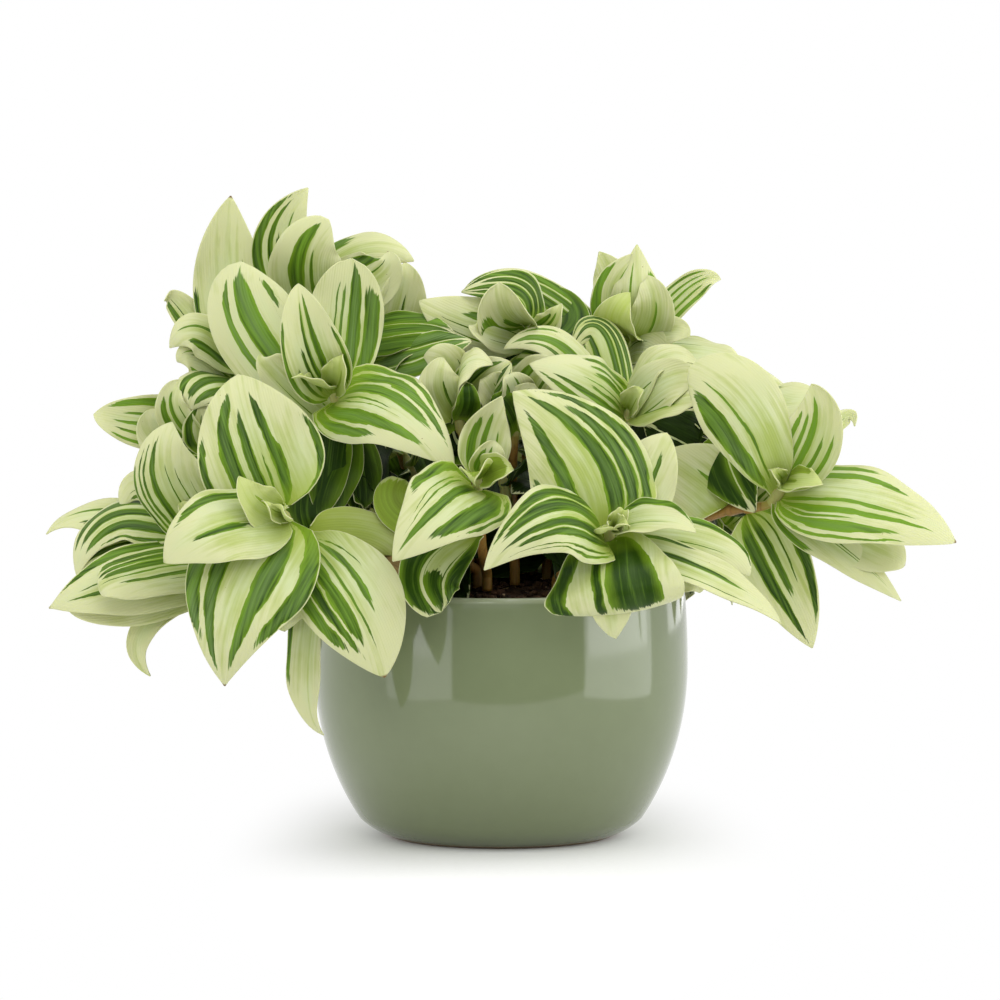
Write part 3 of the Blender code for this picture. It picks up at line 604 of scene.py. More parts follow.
# Each shoot: where its stem leaves the soil, the points it passes through, its leaves, and more
# leaves that the CAD doesn't have. Extra shoots aren't in the CAD at all. In mm and degrees.
# A leaf: distance of its node below the stem's tip, middle and tip of its midrib, the way its
# upper side faces, width, fold at the midrib, bend of each half, its bands, and shape changes.
shoots = {
    "upper_left": {
        "soil": (-24, -12), "route": [(-40, -24, 134), (-62, -36, 168), (-73, -42, 199)],
        "leaves": [
            (3, (-82, -56, 219), (-86, -54, 244), (.1, -1, .1), 32, 10, 35, "crownTall"),
            (7, (-67, -30, 226), (-64, -32, 252), (.1, -1, .2), 34, 5, 20, "crownBack",
             {"broadest": .5, "point": .5}),
            (7, (-47, -72, 192), (-19, -86, 168), (.2, -1, .45), 46, 0, -30, "crownWide", {"broadest": .25}),
            (12, (-104, -34, 222), (-112, -28, 252), (-.1, -1, .2), 40, 0, -25, "silverWide",
             {"broadest": .48, "point": .6}),
        ],
        "more": [
            (.5, (-80, -60, 201), (-87, -66, 206), (.1, -.4, 1), 13, 0, 50, "bud"),
            (1, (-69, -58, 206), (-69, -60, 214), (-.4, -1, .1), 15, 5, 40, "bud"),
            (20, (-95, -46, 204), (-100, -46, 212), (.1, -1, .2), 18, 0, 20, "plainCream"),
            (14, (-73, -50, 161), (-76, -54, 140), (.5, -1, .1), 28, 5, 15, "plainGreen"),
            (20, (-62, -38, 159), (-62, -40, 144), (.2, -1, .1), 24, 5, 15, "plainGreen"),
            (18, (-82, -56, 154), (-79, -60, 138), (.3, -1, .1), 28, 0, 10, "plainGreen"),
        ],
    },
    "front_left": {
        "soil": (-38, -34), "route": [(-58, -56, 126), (-82, -80, 136), (-93, -90, 150)],
        "leaves": [
            (2, (-104, -88, 180), (-111, -81, 207), (0, -1, .15), 54, 0, 15, "broadUpright"),
            (4, (-119, -117, 145), (-142, -118, 130), (-.2, -1, .5), 38, 0, -15, "creamTwo"),
            (5, (-110, -120, 114), (-116, -114, 76), (-.1, -1, .25), 55, 0, -25, "hanging",
             {"broadest": .28, "point": 1.02}),
            (18, (-62, -106, 114), (-48, -108, 80), (.1, -1, .25), 45, 0, -20, "halfGreen",
             {"broadest": .44}),
            (34, (-81, -88, 84), (-77, -86, 52), (-.8, -.6, .2), 27, 5, 20, "greenEdge"),
        ],
        "more": [
            (.5, (-103, -106, 154), (-108, -106, 166), (.3, -1, .4), 20, 0, 32, "bud"),
            (1, (-91, -108, 149), (-93, -106, 154), (.2, -1, .5), 9, 0, 75, "bud"),
            (1.5, (-96, -106, 150), (-98, -106, 156), (.8, -.6, .1), 9, 10, 40, "bud"),
            (30, (-89, -80, 111), (-92, -82, 97), (-.2, -1, .1), 24, 0, 10, "plainCream"),
            (20, (-57, -72, 138), (-42, -76, 129), (.1, -1, .3), 22, 0, -15, "budPlain"),
            (52, (-42, -84, 123), (-39, -86, 114), (.2, -1, .2), 16, 0, 20, "dryLeaf", {"point": .5}),
        ],
    },
    "side_left": {
        "soil": (-46, -8), "route": [(-78, -24, 122), (-116, -42, 127), (-130, -48, 140)],
        "leaves": [
            (5, (-142, -66, 162), (-140, -62, 186), (-.2, -1, .2), 34, 0, -30, "whiteHair"),
            (18, (-168, -32, 143), (-196, -30, 134), (-.2, -.6, .9), 26, 0, -15, "plainPair",
             {"recurve": 0, "point": 1.1}),
            (7, (-164, -45, 143), (-183, -54, 119), (-.3, -.6, .9), 33, 0, -25, "threeBands"),
            (22, (-160, -80, 119), (-191, -80, 107), (-.3, -1, .5), 36, 0, -20, "lowerEdge",
             {"recurve": 0, "point": 1.05}),
        ],
        "more": [
            (14, (-150, -34, 154), (-163, -36, 146), (-.2, -1, .5), 22, 0, -20, "creamSide", {"recurve": 0}),
            (10, (-164, -50, 128), (-179, -54, 120), (-.3, -1, .5), 24, 0, -20, "greyBroad"),
            (24, (-153, -92, 123), (-171, -98, 116), (-.2, -1, .5), 26, 0, -25, "halfGreen"),
            (28, (-157, -76, 109), (-185, -78, 110), (-.2, -1, .3), 22, 0, -15, "lowerEdge"),
            (32, (-149, -66, 100), (-149, -70, 77), (-.4, -1, .1), 14, 5, 10, "plainCream", {"recurve": 0}),
            (1, (-133, -60, 146), (-137, -62, 151), (-.2, -1, .4), 11, 5, 45, "bud"),
        ],
    },
    "front_middle": {
        "soil": (-6, -36), "route": [(-8, -58, 130), (-9, -76, 148), (-10, -86, 164)],
        "leaves": [
            (4, (-6, -77, 181), (0, -82, 195), (.1, -1, .1), 24, 5, 30, "innerCup"),
            (6, (-24, -112, 153), (-46, -120, 131), (-.1, -.9, .5), 44, 0, -20, "foldedPair",
             {"broadest": .25}),
            (30, (-29, -90, 124), (-24, -100, 109), (.3, -.9, .4), 28, 4, -20, "foldedHem",
             {"broadest": .58, "point": .34}),
        ],
        "more": [
            (.5, (-10, -98, 166), (-13, -100, 161), (-.4, -1, .4), 17, 0, 60, "budCup"),
            (1.5, (-1, -92, 166), (5, -94, 168), (-.2, -1, .6), 19, 0, 60, "budCup"),
            (1, (-5, -86, 171), (-2, -84, 179), (.2, -1, .2), 18, 0, 55, "innerCup"),
            (22, (-39, -70, 149), (-41, -66, 161), (.2, -1, .1), 25, 0, 10, "budWhole",
             {"broadest": .5, "point": .4}),
        ],
    },
    "front_right": {
        "soil": (24, -42), "route": [(33, -68, 124), (43, -92, 132), (47, -100, 145)],
        "leaves": [
            (4, (34, -97, 173), (5, -90, 200), (.1, -1, .3), 56, 0, -30, "greyBroad"),
            (8, (22, -126, 150), (-8, -130, 128), (-.1, -1, .5), 40, 0, -30, "droopStripes",
             {"broadest": .25}),
            (10, (83, -116, 126), (118, -120, 106), (.1, -.7, .8), 22, 0, 10, "midStreak"),
            (8, (46, -124, 120), (50, -113, 105), (-.25, -.9, .5), 60, 0, -12, "overRim",
             {"broadest": .62, "point": .24}),
        ],
        "more": [
            (.5, (43, -114, 142), (47, -112, 145), (-.2, -1, .6), 9, 0, 75, "bud"),
            (.5, (50, -112, 145), (54, -113, 146), (-.1, -.8, .6), 10, 10, 50, "bud"),
            (1, (50, -108, 148), (52, -106, 152), (-.2, -1, .2), 10, 15, 40, "bud"),
            (1.5, (64, -110, 147), (82, -114, 144), (.0, -.6, .8), 24, 0, 30, "greenTop"),
            (6, (85, -98, 136), (105, -102, 124), (.2, -1, .7), 25, 0, -15, "greenTop"),
            (20, (74, -92, 123), (84, -94, 115), (.2, -1, .3), 18, 0, 10, "plainPair"),
            (12, (60, -86, 162), (70, -80, 182), (-.1, -1, .2), 32, 0, 15, "plainPair"),
            (9, (46, -114, 111), (48, -108, 97), (0, -1, .2), 20, 0, 0, "plainCream",
             {"recurve": 0, "point": 1.1}),
        ],
    },
    "middle_right": {
        "soil": (26, -14), "route": [(38, -24, 134), (48, -34, 162), (55, -42, 190)],
        "leaves": [
            (3, (38, -62, 201), (12, -62, 211), (-.1, -.9, .6), 34, 0, -30, "manyThin"),
        ],
        "more": [
            (.5, (57, -58, 195), (60, -60, 200), (-.3, -1, .2), 12, 10, 40, "bud"),
            (3, (70, -56, 201), (85, -60, 203), (.1, -1, .5), 24, 0, 10, "plainCream"),
            (4, (73, -60, 193), (86, -64, 195), (.1, -.8, .6), 20, 0, 20, "oneStreak"),
            (6, (66, -48, 209), (85, -50, 210), (.1, -.6, .8), 18, 0, 10, "plainCream"),
            (14, (28, -34, 214), (1, -38, 216), (-.1, -.6, .8), 23, 0, -25, "silverWide"),
            (10, (43, -24, 219), (31, -28, 214), (-.1, -.8, .7), 21, 0, -35, "greyBroad"),
            (24, (42, -50, 188), (29, -54, 182), (-.1, -1, .3), 30, 0, -20, "shadePair"),
        ],
    },
    "side_right": {
        "soil": (50, -14),
        "route": [(72, -34, 134), (96, -44, 145), (115, -51, 149), (121, -54, 160)],
        "leaves": [
            (5, (102, -80, 191), (78, -74, 209), (-.2, -1, .4), 38, 0, -25, "creamSide",
             {"broadest": .5, "point": .6}),
            (2, (134, -64, 182), (131, -64, 201), (-.2, -1, .1), 28, 0, 35, "upCup",
             {"broadest": .36, "point": .85}),
            (8, (157, -76, 151), (195, -70, 135), (.1, -.8, .6), 42, 0, -18, "longRight"),
            (10, (140, -66, 134), (172, -62, 109), (.1, -.8, .6), 22, 0, -10, "yellowEdge"),
            (24, (120, -48, 118), (134, -50, 87), (.2, -1, .1), 34, 0, -10, "darkStripes"),
        ],
        "more": [
            (.5, (128, -72, 160), (137, -74, 161), (-.1, -.8, .6), 15, 0, 40, "budOpen"),
            (1, (117, -66, 162), (115, -68, 166), (.3, -1, .3), 10, 10, 50, "bud"),
            (32, (85, -44, 159), (69, -48, 170), (-.1, -1, .4), 38, 0, -10, "oneStreak"),
            (9, (156, -60, 133), (173, -62, 125), (.1, -.8, .6), 30, 0, 0, "plainCream"),
            (12, (145, -16, 181), (153, -18, 180), (.1, -1, .4), 9, 0, -10, "oneStreak", {"recurve": 0}),
        ],
    },
    "top_right": {
        "soil": (14, 16), "route": [(26, 14, 150), (38, 12, 194), (57, 7, 210), (60, 4, 222)],
        "leaves": [
            (5, (59, -10, 236), (59, -2, 256), (0, 1, .1), 26, 10, 20, "foldedUp"),
            (6, (82, 8, 238), (96, 8, 243), (0, -1, .4), 15, 0, 20, "fanThin"),
            (24, (14, 8, 235), (-16, 6, 239), (-.1, -.9, .5), 27, 0, -30, "deepStripes"),
            (32, (86, -6, 207), (127, -20, 196), (.1, -.4, .9), 31, 0, -20, "oneStreak"),
        ],
        "more": [
            (6, (50, 16, 239), (44, 14, 253), (.1, -1, .2), 22, 0, 10, "innerCup"),
            (5, (48, -6, 237), (60, -6, 254), (.2, -1, .1), 21, 5, 15, "foldedUp"),
            (6, (66, -12, 231), (61, -8, 246), (-.1, -1, .1), 20, 0, 15, "oneStreak"),
            (16, (62, -6, 212), (70, -8, 203), (.1, -1, .2), 28, 0, 10, "plainCream"),
            (3, (49, -18, 225), (56, -18, 239), (-.3, -1, .1), 22, 0, 28, "budPlain"),
            (7, (73, -8, 221), (83, -10, 219), (.1, -1, .4), 15, 0, 0, "plainCream"),
            (9, (87, -6, 212), (106, -10, 207), (.1, -.5, .9), 28, 0, -15, "plainCream"),
        ],
    },
    "high_left": {
        "soil": (-48, 14), "route": [(-76, 6, 138), (-100, 0, 172), (-112, -6, 206)],
        "leaves": [
            (3, (-119, 14, 243), (-118, 16, 278), (.1, -1, .1), 35, 5, 20, "tallCream"),
            (1.5, (-130, -20, 221), (-145, -18, 214), (-.1, -.9, .5), 22, 0, -25, "plainPair"),
            (30, (-152, -16, 181), (-176, -20, 186), (-.1, -1, .3), 27, 0, 15, "fanThin"),
        ],
        "more": [
            (14, (-137, 10, 227), (-144, 8, 233), (-.1, -1, .3), 15, 0, -15, "creamSide"),
            (18, (-128, -16, 208), (-140, -20, 208), (-.1, -1, .5), 22, 0, -20, "longRight"),
            (10, (-127, -32, 199), (-135, -38, 187), (-.3, -1, .4), 28, 0, -30, "threeBands"),
        ],
    },
    "top_left": {
        "soil": (-20, 14), "route": [(-38, 8, 150), (-54, 2, 196), (-88, 8, 236)],
        "leaves": [
            (5, (-95, 6, 258), (-84, 4, 282), (0, -1, .2), 30, 5, 20, "darkLeft"),
            (9, (-84, -12, 252), (-74, -12, 269), (.2, -1, .2), 33, 0, -20, "deepPair",
             {"point": .6, "recurve": 1}),
            (4, (-63, 4, 254), (-38, -2, 252), (.1, -.7, .5), 26, 0, -30, "shoulder"),
            (50, (-44, -2, 232), (-41, -4, 250), (.3, -1, .1), 26, 5, 20, "oneStreak"),
            (60, (-36, -20, 214), (-16, -22, 215), (.1, -.6, .8), 24, 10, 20, "darkPair"),
        ],
        "more": [
            (6, (-55, -4, 244), (-50, -6, 255), (.1, -1, .2), 28, 0, 15, "creamSide"),
            (1, (-90, 4, 245), (-88, 4, 253), (-.2, -1, .3), 12, 10, 40, "bud"),
            (30, (-42, -20, 222), (-19, -28, 221), (-.1, -.8, .5), 22, 0, -20, "twoHairs"),
            (44, (-34, -34, 213), (-12, -38, 220), (.1, -.9, .5), 22, 0, -10, "silverPlain"),
        ],
    },
    "back_left": {
        "soil": (-36, 36), "route": [(-52, 62, 130), (-66, 82, 154), (-74, 92, 176)],
        "leaves": [
            (4, (-100, 102, 192), (-122, 106, 184), (-.3, .4, 1), 40, 0, -20, "hanging"),
            (10, (-82, 122, 160), (-88, 134, 130), (-.1, 1, .4), 40, 0, -20, "greyBroad"),
            (16, (-112, 80, 150), (-138, 84, 128), (-.5, .3, 1), 38, 0, -20, "longRight"),
        ],
    },
    "back_right": {
        "soil": (36, 36), "route": [(54, 58, 128), (74, 74, 146), (90, 84, 164)],
        "leaves": [
            (4, (116, 92, 180), (138, 96, 172), (.3, .4, 1), 40, 0, -20, "crownWide"),
            (10, (104, 112, 146), (112, 122, 116), (.2, 1, .4), 40, 0, -20, "halfGreen"),
        ],
    },
    "back_middle": {
        "soil": (0, 46), "route": [(2, 70, 132), (4, 86, 158), (4, 94, 182)],
        "leaves": [
            (4, (-16, 116, 188), (-30, 128, 170), (-.2, .8, .7), 40, 0, -20, "foldedPair"),
            (10, (26, 118, 166), (34, 132, 138), (.2, 1, .4), 40, 0, -20, "manyThin"),
        ],
    },
    "top_middle": {
        "extra": True, "soil": (4, 10), "route": [(3, 4, 150), (8, -4, 191), (14, -10, 225)],
        "leaves": [
            (2, (7, -16, 238), (-17, -20, 239), (.1, -1, .5), 24, 0, -15, "deepStripes"),
            (1, (3, -28, 229), (-1, -36, 242), (-.4, -1, .3), 32, 0, 75, "openCup",
             {"broadest": .55, "point": .6}),
            (6, (-15, -20, 225), (-35, -22, 235), (-.1, -1, .3), 26, 0, -15, "sideStreaks"),
            (4, (22, -20, 225), (25, -20, 234), (-.5, -1, .1), 14, 5, 40, "innerCup"),
            (8, (25, 10, 227), (10, 12, 238), (-.1, -1, .2), 29, 0, -20, "darkPair"),
            (10, (-6, -30, 221), (-12, -32, 226), (-.1, -1, .4), 15, 0, 15, "plainCream"),
            (14, (13, -26, 214), (25, -32, 209), (.1, -1, .5), 26, 0, -20, "threeBands"),
            (34, (-12, -4, 212), (-33, -6, 226), (-.1, -1, .4), 30, 0, -10, "darkPair"),
            (24, (3, -6, 212), (-3, -6, 221), (-.1, -1, .2), 32, 0, 10, "plainGreen"),
        ],
    },
    "inner_left": {
        "extra": True, "soil": (-14, -18), "route": [(-11, -26, 157), (-17, -36, 180), (-21, -42, 196)],
        "leaves": [
            (2, (-24, -46, 208), (-33, -48, 211), (-.1, -1, .3), 22, 0, -10, "plainCream"),
            (5, (-16, -54, 208), (-3, -58, 211), (.1, -.6, .8), 24, 0, -10, "oneStreak"),
            (9, (-26, -56, 200), (-23, -56, 212), (.2, -1, .2), 24, 0, 15, "oneStreak"),
            (12, (-14, -60, 193), (-15, -60, 203), (.1, -1, .2), 12, 0, 15, "plainGreen"),
            (18, (-26, -36, 192), (-33, -36, 203), (-.2, -1, .2), 26, 0, 10, "plainGreen"),
            (26, (-19, -24, 174), (-22, -22, 186), (-.1, -1, .2), 34, 0, 10, "shadePair"),
            (8, (-6, -48, 201), (4, -50, 210), (-.1, -1, .3), 26, 0, 10, "greyBroad"),
        ],
    },
    "inner_middle": {
        "extra": True, "soil": (6, -20), "route": [(5, -26, 157), (6, -34, 179), (8, -38, 193)],
        "leaves": [
            (1, (6, -52, 199), (3, -52, 206), (.1, -1, .4), 18, 5, 30, "plainPair"),
            (4, (17, -48, 203), (24, -50, 209), (-.1, -1, .4), 24, 0, 15, "plainPair"),
            (8, (-3, -50, 198), (-7, -52, 204), (.1, -1, .4), 20, 0, 15, "oneStreak"),
            (12, (12, -52, 193), (17, -54, 199), (.1, -1, .4), 20, 0, 15, "sideStreaks"),
            (16, (0, -54, 189), (-6, -56, 192), (-.1, -1, .4), 20, 0, -10, "plainGreen"),
        ],
    },
    "right_middle": {
        "extra": True, "soil": (44, -2), "route": [(43, -14, 142), (72, -24, 159), (98, -32, 178)],
        "leaves": [
            (1, (98, -46, 164), (108, -56, 146), (-.3, -1, .2), 30, 0, -10, "darkPair"),
            (4, (122, -30, 192), (145, -34, 187), (.1, -.6, .8), 27, 0, -15, "shoulder"),
            (8, (95, -20, 192), (82, -20, 200), (-.1, -1, .4), 34, 0, -15, "plainCream"),
            (16, (75, -30, 175), (62, -32, 182), (-.1, -1, .2), 30, 0, -10, "shadePair"),
            (26, (82, -10, 180), (89, -12, 189), (.1, -1, .2), 30, 0, -10, "shadePair"),
        ],
    },
    "mid_left": {
        "extra": True, "soil": (-50, 4), "route": [(-70, -8, 138), (-109, -20, 159), (-131, -28, 171)],
        "leaves": [
            (3, (-141, -34, 188), (-137, -32, 202), (-.2, -1, .1), 17, 8, 25, "innerCup"),
            (5, (-146, -26, 178), (-149, -26, 188), (-.1, -1, .2), 26, 0, 10, "plainCream"),
            (8, (-124, -34, 184), (-126, -34, 193), (.1, -1, .2), 28, 0, 10, "darkStripes"),
            (14, (-136, -36, 163), (-151, -38, 166), (-.2, -1, .3), 30, 0, -15, "halfGreen"),
        ],
    },
}
# Simple shoots with whorls alone: where each leaves the soil, its points, and the number, the
# length in mm and the kind of its leaves.
whorlShoots = {
    "back_high_left": ((-30, 30), [(-50, 48, 150), (-66, 54, 184), (-74, 56, 206)], (9, 66, "mixed")),
    "back_mid_left": ((-36, 34), [(-66, 60, 138), (-90, 72, 156), (-98, 76, 172)], (8, 60, "mixed")),
    "back_low_left": ((-46, 22), [(-78, 50, 124), (-106, 64, 134), (-116, 68, 146)], (9, 58, "mixed")),
    "back_centre": ((6, 32), [(10, 50, 146), (14, 60, 178), (18, 62, 196)], (9, 60, "mixed")),
    "back_mid_middle": ((-10, 36), [(-20, 62, 140), (-30, 80, 160), (-34, 86, 174)], (8, 58, "mixed")),
    "back_low_middle": ((-16, 50), [(-24, 78, 124), (-28, 92, 134), (-30, 96, 144)], (8, 50, "mixed")),
    "back_high_right": ((40, 26), [(54, 40, 146), (66, 50, 168), (72, 54, 182)], (9, 58, "mixed")),
    "back_mid_right": ((30, 38), [(44, 62, 136), (58, 80, 152), (64, 86, 166)], (8, 58, "mixed")),
    "back_low_right": ((48, 24), [(82, 46, 124), (102, 58, 132), (110, 62, 142)], (9, 56, "mixed")),
    "side_right_rear": ((54, 6), [(86, 12, 124), (112, 18, 132), (120, 22, 142)], (8, 50, "mixed")),
    "side_left_rear": ((-54, 14), [(-84, 22, 122), (-106, 30, 132), (-114, 34, 142)], (8, 50, "mixed")),
    "inner_dark_left": ((-22, -4), [(-30, -4, 138), (-38, -4, 156), (-42, -4, 168)], (7, 46, "dark")),
    "inner_dark_right": ((24, 6), [(30, 6, 138), (36, 6, 154), (40, 6, 166)], (7, 46, "dark")),
    "inner_dark_middle": ((0, 20), [(2, 22, 142), (2, 24, 166), (2, 24, 190)], (9, 48, "dark")),
    "inner_low_left": ((-34, -20), [(-44, -28, 126), (-52, -34, 136), (-56, -36, 146)], (5, 36, "dark")),
    # these shade shoots fill the inside of the plant with leaves painted dark as shade
    "shade_left": ((-26, -16), [(-38, -24, 130), (-46, -28, 142), (-50, -30, 152)], (9, 48, "shade")),
    "shade_middle": ((-8, -16), [(-16, -18, 138), (-20, -19, 150), (-22, -20, 162)], (6, 38, "shade")),
    "shade_centre": ((6, -24), [(4, -28, 140), (2, -30, 152), (0, -32, 162)], (6, 42, "shade")),
    "shade_right": ((20, -4), [(26, -12, 144), (28, -18, 158), (30, -22, 168)], (9, 46, "shade")),
    "shade_high_right": ((34, -2), [(50, -6, 146), (62, -10, 162), (68, -12, 174)], (9, 46, "shade")),
    "shade_far_right": ((40, 10), [(62, 4, 144), (80, -2, 160), (88, -4, 172)], (9, 46, "shade")),
    "shade_front_right": ((30, -22), [(38, -32, 134), (44, -38, 146), (47, -40, 156)], (8, 42, "shade")),
    "shade_low_left": ((-44, -20), [(-56, -34, 122), (-62, -42, 128), (-66, -48, 136)], (6, 36, "shade")),
    "shade_front": ((-10, -30), [(-20, -40, 126), (-26, -46, 134), (-30, -48, 142)], (5, 34, "shade")),
    "shade_high_left": ((-30, 0), [(-50, -6, 140), (-66, -12, 154), (-74, -14, 166)], (9, 48, "shade")),
}
for shoot, (spot, route, whorl) in whorlShoots.items():
    shoots[shoot] = {"extra": True, "soil": spot, "route": route, "leaves": [], "whorl": whorl}


def stemPath(foot, route):
    # smooth curve through the route, upright where it leaves the soil
    start = Vector((foot[0], foot[1], soilHeight(math.hypot(*foot)) + stem["lift"]))
    knots = [start, start + Vector((0, 0, stem["upright"]))] + [Vector(point) for point in route]
    knots.append(2 * knots[-1] - knots[-2])
    path = [start]
    for i in range(1, len(knots) - 2):
        a, b, c, d = knots[i - 1:i + 3]
        for step in range(stem["pointsPerSpan"]):
            t = step / stem["pointsPerSpan"]
            path.append(0.5 * (2 * b + (c - a) * t + (2 * a - 5 * b + 4 * c - d) * t ** 2
                               + (3 * b - a - 3 * c + d) * t ** 3))
    path.append(knots[-2])
    return path


def belowTip(path, drop):
    # the point that far below the tip, and the way that the path runs there
    for i in range(len(path) - 1, 0, -1):
        span = path[i] - path[i - 1]
        if drop <= span.length:
            return path[i] - span.normalized() * drop, span.normalized()
        drop -= span.length
    return path[0], (path[1] - path[0]).normalized()


def leafFrame(foot, control, tip, face, share):
    # ahead, up and sideways on the blade, carried along the midrib without twist
    middleAhead = (tip - foot).normalized()
    middleUp = (face - face.dot(middleAhead) * middleAhead).normalized()
    ahead = ((1 - share) * (control - foot) + share * (tip - control)).normalized()
    up = middleAhead.rotation_difference(ahead) @ middleUp
    return ahead, up, up.cross(ahead)


def leafFoot(node, direction, middle):
    # the foot stands beside the stem, just clear of it
    outward = middle - node
    outward = (outward - outward.dot(direction) * direction).normalized()
    return node + outward * (stem["radius"] + stem["gap"])


def leafOutline(share, broadest, point):
    # half width, of the greatest, which lies at the share "broadest"
    if not 0 < share < 1:
        return 0.0
    full = point * broadest / (1 - broadest)
    most = broadest ** full * (1 - broadest) ** point
    return share ** full * (1 - share) ** point / most


def halfSection(reach, fold, bend):
    # how far out and up an evenly bent half blade has got at this reach
    if abs(bend) < 1e-6:
        return reach * math.cos(fold), reach * math.sin(fold)
    turn = fold + bend * reach
    return (math.sin(turn) - math.sin(fold)) / bend, (math.cos(fold) - math.cos(turn)) / bend


def addBlade(cage, path, row, rng, rows, columns, slot):
    # a grid along the midrib, each half folded and bent, and rolled round the stem at its foot
    drop, middle, tip, face, width, fold, bend = row[:7]
    form = leafShape | (row[8] if len(row) > 8 else {})
    middle, tip, face = Vector(middle), Vector(tip), Vector(face)
    fold, bend, clasp = math.radians(fold), math.radians(bend), math.radians(form["clasp"])
    node, direction = belowTip(path, drop)
    foot = leafFoot(node, direction, middle)
    control = 2 * middle - (foot + tip) / 2
    length = (middle - foot).length + (tip - middle).length
    phases = {side: rng.random() * math.tau for side in (-1, 1)}
    start = Vector((rng.uniform(0, form["grainSpread"]), rng.uniform(0, form["grainSpread"])))
    blade, grain = cage.loops.layers.uv["blade"], cage.loops.layers.uv["grain"]
    grid = bmesh.ops.create_grid(cage, x_segments=rows, y_segments=columns, size=1.0)["verts"]
    spots = {}
    for vertex in grid:
        share, across = (vertex.co.x + 1) / 2, vertex.co.y
        rib = (1 - share) ** 2 * foot + 2 * share * (1 - share) * control + share ** 2 * tip
        _, up, side = leafFrame(foot, control, tip, face, share)
        least = form["footWidth"] * (1 - share) + form["tipWidth"]
        half = max(width * leafOutline(share, form["broadest"], form["point"]), least) / 2
        rolled = max(0.0, 1 - share / form["claspEnd"]) ** 2
        out, lift = halfSection(abs(across), fold, bend + (clasp - bend) * rolled)
        edge = math.copysign(1, across)
        wave = math.sin(math.tau * form["waves"] * share + phases[edge])
        ripple = form["ripple"] * wave * abs(across) ** 3 * math.sin(math.pi * share)
        bent = (share - form["recurveFrom"]) / (1 - form["recurveFrom"])
        droop = form["recurve"] * max(0.0, bent) ** 2
        spots[vertex] = ((1 - across) / 2, share, -across * half, share * length)
        vertex.co = (rib + side * edge * out * half + up * (lift * half + ripple - droop)) * mm
    for bmFace in {bmFace for vertex in grid for bmFace in vertex.link_faces}:
        bmFace.material_index = slot
        for corner in bmFace.loops:
            left, share, wide, far = spots[corner.vert]
            corner[blade].uv = (left, share)
            corner[grain].uv = (wide + start.x, far + start.y)


def addLeaves(name, path, rows, rng, grid, *nodes):
    # one piece of one or more blades, thickened from its middle surface
    def build(cage):
        cage.loops.layers.uv.new("blade")
        cage.loops.layers.uv.new("grain")
        for slot, row in enumerate(rows):
            addBlade(cage, path, row, rng, *grid, slot)
    first, *others = [leafMaterials[row[7]] for row in rows]
    piece = newPiece(name, meshFrom(name, build), first, "leaf", *nodes)
    for material in others:
        piece.data.materials.append(material)
    solid = piece.modifiers.new("thickness", "SOLIDIFY")
    solid.thickness = leafShape["thickness"] * mm
    solid.offset = 0.0
    piece.modifiers.new("cleanShading", "WEIGHTED_NORMAL")


# Shoots that lean away or stand inside carry whorls: each next leaf turns on round the stem,
# and the older it is, the further it has opened and drooped.
whorlShape = {
    "spacing": 6.0, "firstDrop": 1,       # mm from one node to the next, and from the tip to the first
    "turn": 137.5, "turnStray": 15,       # degrees from one node to the next, and how far that varies
    "open": (26.0, 98.0),                 # degrees from the stem, of the youngest and the oldest
    "openCurve": 0.7,                     # below 1, leaves open early
    "young": 0.5, "width": 0.64,          # length of the youngest, and width, as shares
    "growth": 1.6, "sizeStray": (0.88, 1.08),    # how soon they reach full length, and how it varies
    "middle": 0.52,                       # where the midrib's middle is, as a share of the length
    "droop": 0.18, "leastDroop": 0.3,     # how far tips sag, and the share of it that the youngest has
    "lowest": -0.35,                      # how far down a leaf may point
    "bend": (-30, -5), "grid": (20, 12),
}
whorlPatterns = {
    "mixed": ["silverWide", "crownWide", "halfGreen", "greyBroad", "foldedPair", "droopStripes",
              "longRight", "hanging", "creamTwo", "threeBands"],
    "dark": ["plainGreen", "darkPair", "plainGreen", "darkStripes"],
    # the shade kind uses leaves painted dark as shade
    "shade": ["shadeFull", "shadePair", "shadeFull", "shadeFull"],
}


def whorlRows(path, whorl, rng):
    count, length, kind = whorl
    shape = whorlShape
    rows = []
    for i in range(count):
        share = i / (count - 1)
        drop = shape["firstDrop"] + shape["spacing"] * i
        node, direction = belowTip(path, drop)
        level = direction.cross(Vector((0, 1, 0.1))).normalized()
        turn = math.radians(shape["turn"] * i + rng.uniform(-shape["turnStray"], shape["turnStray"]))
        side = level * math.cos(turn) + direction.cross(level) * math.sin(turn)
        side = Vector((side.x, side.y, max(side.z, shape["lowest"]))).normalized()
        first, last = shape["open"]
        opened = math.radians(first + (last - first) * share ** shape["openCurve"])
        out = direction * math.cos(opened) + side * math.sin(opened)
        face = direction * math.sin(opened) - side * math.cos(opened)
        grown = min(1.0, shape["young"] + (1 - shape["young"]) * share * shape["growth"])
        size = length * grown * rng.uniform(*shape["sizeStray"])
        middle = node + out * size * shape["middle"]
        tip = node + out * size - Vector((0, 0, size * shape["droop"] * (shape["leastDroop"] + share)))
        rows.append((drop, middle, tip, face, size * shape["width"], 0,
                     rng.uniform(*shape["bend"]), rng.choice(whorlPatterns[kind])))
    return rows


